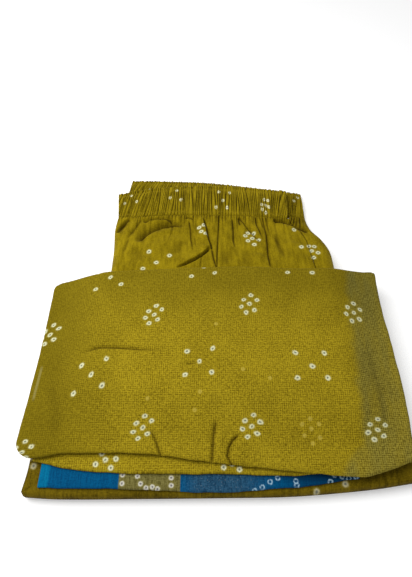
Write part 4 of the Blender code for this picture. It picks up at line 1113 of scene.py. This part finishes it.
def top_leaf_finish():
    """The top leaf: sheer weave, tied flowers and quincunxes, and what shows through it."""
    finish = Finish("dupatta_sheer_cotton")
    cloth = finish.map_place("Cloth")
    colour, relief = sheer_ground(finish, cloth)
    plan = finish.plan_place()

    # Painted shade towards the leaf's edges
    colour = finish.blend(finish.mask("painted_edge_shade") * 0.62, colour, LEAF_PAINTED_SHADE)
    patchy = finish.stretched_noise(plan, (60.0, 14.0)).rises(0.30, 0.62)
    below = finish.blend(relief.rises(0.62, 1.02), *TINT_COLOURS)
    colour = finish.blend(finish.mask("tint") * (0.32 + 0.24 * patchy), colour, below)

    x, y = finish.split(plan)
    streak = abs(x - STREAK_X - (y - STREAK_Y) * STREAK_LEAN).rises(0.0024, 0.0010) \
        * abs(y - STREAK_Y).rises(0.027, 0.019)
    colour = finish.blend(streak * 0.26, colour, LEAF_STREAK)

    ghost = finish.nearest(finish.moved(plan, finish.noise(plan, 160.0, 1.0, "Color"), 0.002),
                           GHOST_DOTS)
    colour = finish.blend(ghost.rises(0.0036, 0.0016) * 0.30, colour, LEAF_GHOST)

    lattice = finish.map_place("Print")
    a, b = finish.split(finish.moved(lattice, finish.noise(lattice, 13.0, 1.0, "Color"), 0.022))
    flower_place = finish.node("ShaderNodeCombineXYZ", {
        0: (a - a.sum_with("ROUND")) * PRINT_WIDTH,
        1: (b - b.sum_with("ROUND")) * (1.0 + 0.18 * b.rises(0.45, 0.10)) * PRINT_LENGTH})
    middle_place = finish.node("ShaderNodeCombineXYZ", {
        0: (a - a.sum_with("FLOOR") - 0.5) * PRINT_WIDTH,
        1: (b - b.sum_with("FLOOR") - 0.5) * PRINT_LENGTH})
    away = finish.nearest(flower_place, FLOWER).least(finish.nearest(middle_place, QUINCUNX))
    colour = finish.tied_dots(colour, away, cloth, CREAM, HEART)
    return finish.finish_cloth(colour, relief, 0.0005, 0.55)


def sheer_finish(name, table):
    """The dupatta's other leaves and folds: the same weave, with the dots that show."""
    finish = Finish(name)
    colour, relief = sheer_ground(finish, finish.map_place("Cloth"))
    if table:
        plan = finish.plan_place()
        colour = finish.tied_dots(colour, finish.nearest(plan, table), plan, CREAM, HEART)
    return finish.finish_cloth(colour, relief, 0.0005, 0.55)


def cotton_finish(name, colours, table, cream=CREAM, size=0.0037, gathered=False):
    """Trouser or kurti cotton, closely woven. Its tied dots lie at places seen from above or, on
    a gathered band, at places on the flat cloth."""
    finish = Finish(name)
    cloth = finish.map_place("Cloth")
    threads = finish.threads(cloth, 0.0009, 0.006, 3.0)
    speckle = finish.noise(cloth, 600.0, 1.0)
    crumple = finish.stretched_noise(cloth, (210.0, 38.0))
    grain = 0.32 * threads + 0.22 * speckle + 0.22 * finish.noise(cloth, 30.0, 3.0) + 0.24 * crumple
    colour = finish.blend(grain.rises(0.385, 0.615), *colours)
    place = cloth if gathered else finish.plan_place()
    colour = finish.tied_dots(colour, finish.nearest(place, table), place, cream, HEART, size)
    return finish.finish_cloth(colour, threads + 0.3 * speckle + 1.6 * crumple, 0.0003, 0.45)


def border_finish():
    """The dupatta's end: blue with a bright selvedge and an olive stripe, dots and ring chains."""
    finish = Finish("border_blue_cotton", 0.80)
    cloth = finish.map_place("Cloth")
    plan = finish.plan_place()
    x, y = finish.split(plan)
    threads = finish.threads(cloth, 0.0014, 0.006, 5.0)
    speckle = finish.noise(cloth, 560.0, 2.0)
    streaks = finish.stretched_noise(cloth, (520.0, 60.0))
    grain = (0.40 * threads + 0.30 * speckle + 0.30 * streaks).rises(0.37, 0.63)

    # Darker towards the right end; along the upper edge, from the middle rightwards, painted shadow of
    # the second leaf
    shaded = x.rises(0.060, 0.115) * 0.60 \
        + y.rises(-0.2620, -0.2510) * x.rises(-0.060, -0.020) * 0.50
    colour = finish.blend(shaded.least(0.75), finish.blend(grain, *BLUE_COLOURS), BORDER_DEEP)
    in_dust = x.rises(-0.050, -0.020) * x.rises(0.075, 0.020)
    colour = finish.blend(in_dust * 0.80, colour, finish.blend(grain, *DUSTY_COLOURS))
    flecks = finish.noise(cloth, 480.0, 1.0).rises(0.60, 0.74)
    colour = finish.blend(in_dust * flecks * 0.22, colour, BORDER_FLECK)
    colour = finish.blend(x.rises(-0.2030, -0.2062), colour, finish.blend(grain, *BRIGHT_COLOURS))
    stripe = x.rises(-0.1200, -0.1186) * x.rises(-0.0442, -0.0456)
    colour = finish.blend(stripe, colour, finish.blend(grain, *STRIPE_COLOURS))

    colour = finish.tied_dots(colour, finish.nearest(plan, BORDER_DOTS), plan,
                              BORDER_CREAM, BORDER_HEART, 0.0030)
    away = finish.nearest(plan, BORDER_RINGS) + (finish.noise(plan, 520.0) - 0.5) * 0.0022
    broken = finish.noise(plan, 300.0, 1.0).rises(0.36, 0.58)
    ring = abs(away - 0.0024).rises(0.0014, 0.0003) * (0.18 + 0.55 * broken)
    colour = finish.blend(ring, colour, BORDER_RING)
    return finish.finish_cloth(colour, threads + 0.5 * speckle, 0.0005, 0.5)


def thread_finish():
    """Sewing thread, a little lighter than the cotton and twisted along each stitch."""
    finish = Finish("sewing_thread", 0.6, 0.05)
    twist = finish.noise(finish.plan_place(), 2600.0)
    return finish.finish_cloth(finish.blend(twist.rises(0.3, 0.7), *THREAD_COLOURS), twist, 0.0001, 0.4)


def floor_finish():
    """A plain pale matt floor that glows a little: painted light that brightens it and fills in its
    shadows.
    """
    finish = Finish("glowing_pale_floor", 0.9, 0.0)
    # Painted light: the floor glows, though it is no lamp, and so lights the cloth a little from below
    finish.shader.inputs["Emission Strength"].default_value = 0.34
    finish.shader.inputs["Emission Color"].default_value = (1.0, 1.0, 1.0, 1.0)
    place = finish.plan_place()
    return finish.finish_cloth(finish.blend(finish.noise(place, 3.0), *FLOOR_COLOURS),
                               finish.noise(place, 400.0), 0.0001, 0.05)


def band_spots(rows, table):
    """Dots given by their places seen from above, as places on the gathered cloth."""
    found = []
    for x, y in table:
        near, far = (float(band_line(rows, x, field)) for field in ("y_seam", "y_top"))
        found.append((band_share(rows, x) * GATHERED_LENGTH, (y - near) / (far - near) * BAND_WIDTH))
    return found


# The set

def camera_and_light():
    """The photograph's view: from in front and above, with soft light from overhead."""
    camera = added("camera", bpy.data.cameras.new("camera"))
    camera.location = (-0.0140, -0.4140, 0.6490)
    camera.rotation_euler = (math.radians(35.0), 0.0, 0.0)
    camera.data.sensor_width = 36.0
    camera.data.lens = 36.0 * 500.0 / 577.0
    camera.data.dof.use_dof = False
    bpy.context.scene.camera = camera

    key = added("key_light", bpy.data.lights.new("key_light", "AREA"))
    key.data.size = 0.95
    key.data.energy = 13.2
    key.location = (-0.62, 0.18, 1.02)
    key.rotation_euler = (-key.location).to_track_quat("-Z", "Y").to_euler()

    world = bpy.data.worlds.new("studio")
    bpy.context.scene.world = world
    world.use_nodes = True
    background = world.node_tree.nodes["Background"]
    background.inputs["Color"].default_value = (1.0, 1.0, 1.0, 1.0)
    background.inputs["Strength"].default_value = 0.44
    bpy.context.scene.view_settings.view_transform = "Standard"


def glowing_pale_floor():
    bpy.ops.object.select_all(action="DESELECT")
    bpy.ops.mesh.primitive_plane_add(size=6.0, location=(0.0, 0.0, -0.0004))
    floor = bpy.context.object
    floor.name = "floor"
    floor.data.materials.append(floor_finish())


def kurti():
    item = stack_of_folds("kurti_cloth", KURTI_OUTLINE, KURTI_FOLDS, lambda x, y: 0.0 * x,
                          lambda x, y: KURTI_TOP + 0.0003 * ripple(x, y, 0.07, 1.0) - 0.0003,
                          radius=0.0050, waviness=0.0007, near_softness=0.96)
    dress(item, cotton_finish("kurti_cotton", SHADED_KURTI_COLOURS, KURTI_DOTS, SHADED_KURTI_CREAM),
          "kurti_cotton", "kurti_folded")


def trousers():
    cotton = cotton_finish("trouser_cotton", TROUSER_COLOURS, TROUSER_DOTS)
    left = trouser_front("trouser_front_left_cloth", None, CENTRE_SEAM, 214)
    right = trouser_front("trouser_front_right_cloth", CENTRE_SEAM, SIDE_SEAM, 190)
    back = trouser_back()
    legs = folded_legs()
    dress(left, cotton, "cotton", "trouser_front_left")
    dress(right, cotton, "cotton", "trouser_front_right")
    dress(back, cotton, "cotton", "trouser_back")
    dress(legs, cotton, "cotton", "trouser_layers")


def waistbands():
    thread = thread_finish()
    bands = [("front", FRONT_BAND_ROWS, False, 1.7, FRONT_BAND_DOTS, "trouser_front_left_cloth"),
             ("back", BACK_BAND_ROWS, True, 0.4, BACK_BAND_DOTS, "floor")]
    for side, rows, lowest, seed, table, below in bands:
        band = waistband(f"waistband_{side}_cloth", rows, lowest, seed)
        cotton = cotton_finish(f"waistband_{side}_cotton", BAND_COLOURS, band_spots(rows, table),
                               BAND_CREAM, 0.0034, gathered=True)
        dress(band, cotton, "cotton", f"waistband_{side}")
        stitches = [dress(stitch_row(f"waistband_{side}_{place}_stitches", rows, across, lowest, seed),
                          thread, "cotton") for place, across in STITCH_ROWS]


def dupatta():
    border = folded_leaf("dupatta_border_cloth", BORDER_OUTLINE, ON_KURTI, BORDER_THICKNESS)
    second = folded_leaf("dupatta_second_leaf_cloth", SECOND_LEAF_OUTLINE, BORDER_TOP + SEAM_GAP,
                         SECOND_LEAF_THICKNESS)
    folds = stack_of_folds("dupatta_folds_cloth", DUPATTA_OUTLINE, DUPATTA_FOLDS, dupatta_floor,
                           lambda x, y: dupatta_top(x, y) - 0.0042,
                           radius=0.0080, waviness=0.0012, near_softness=0.20)
    top = top_leaf()
    dress(border, border_finish(), "border_cloth", "dupatta_border")
    dress(second, sheer_finish("second_leaf_cotton", SECOND_LEAF_DOTS), "dupatta_cloth",
          "dupatta_second_leaf")
    dress(folds, sheer_finish("dupatta_folds_cotton", []), "dupatta_cloth", "dupatta_layers")
    dress(top, top_leaf_finish(), "dupatta_cloth", "dupatta_top_leaf")


camera_and_light()
glowing_pale_floor()
kurti()
trousers()
waistbands()
dupatta()
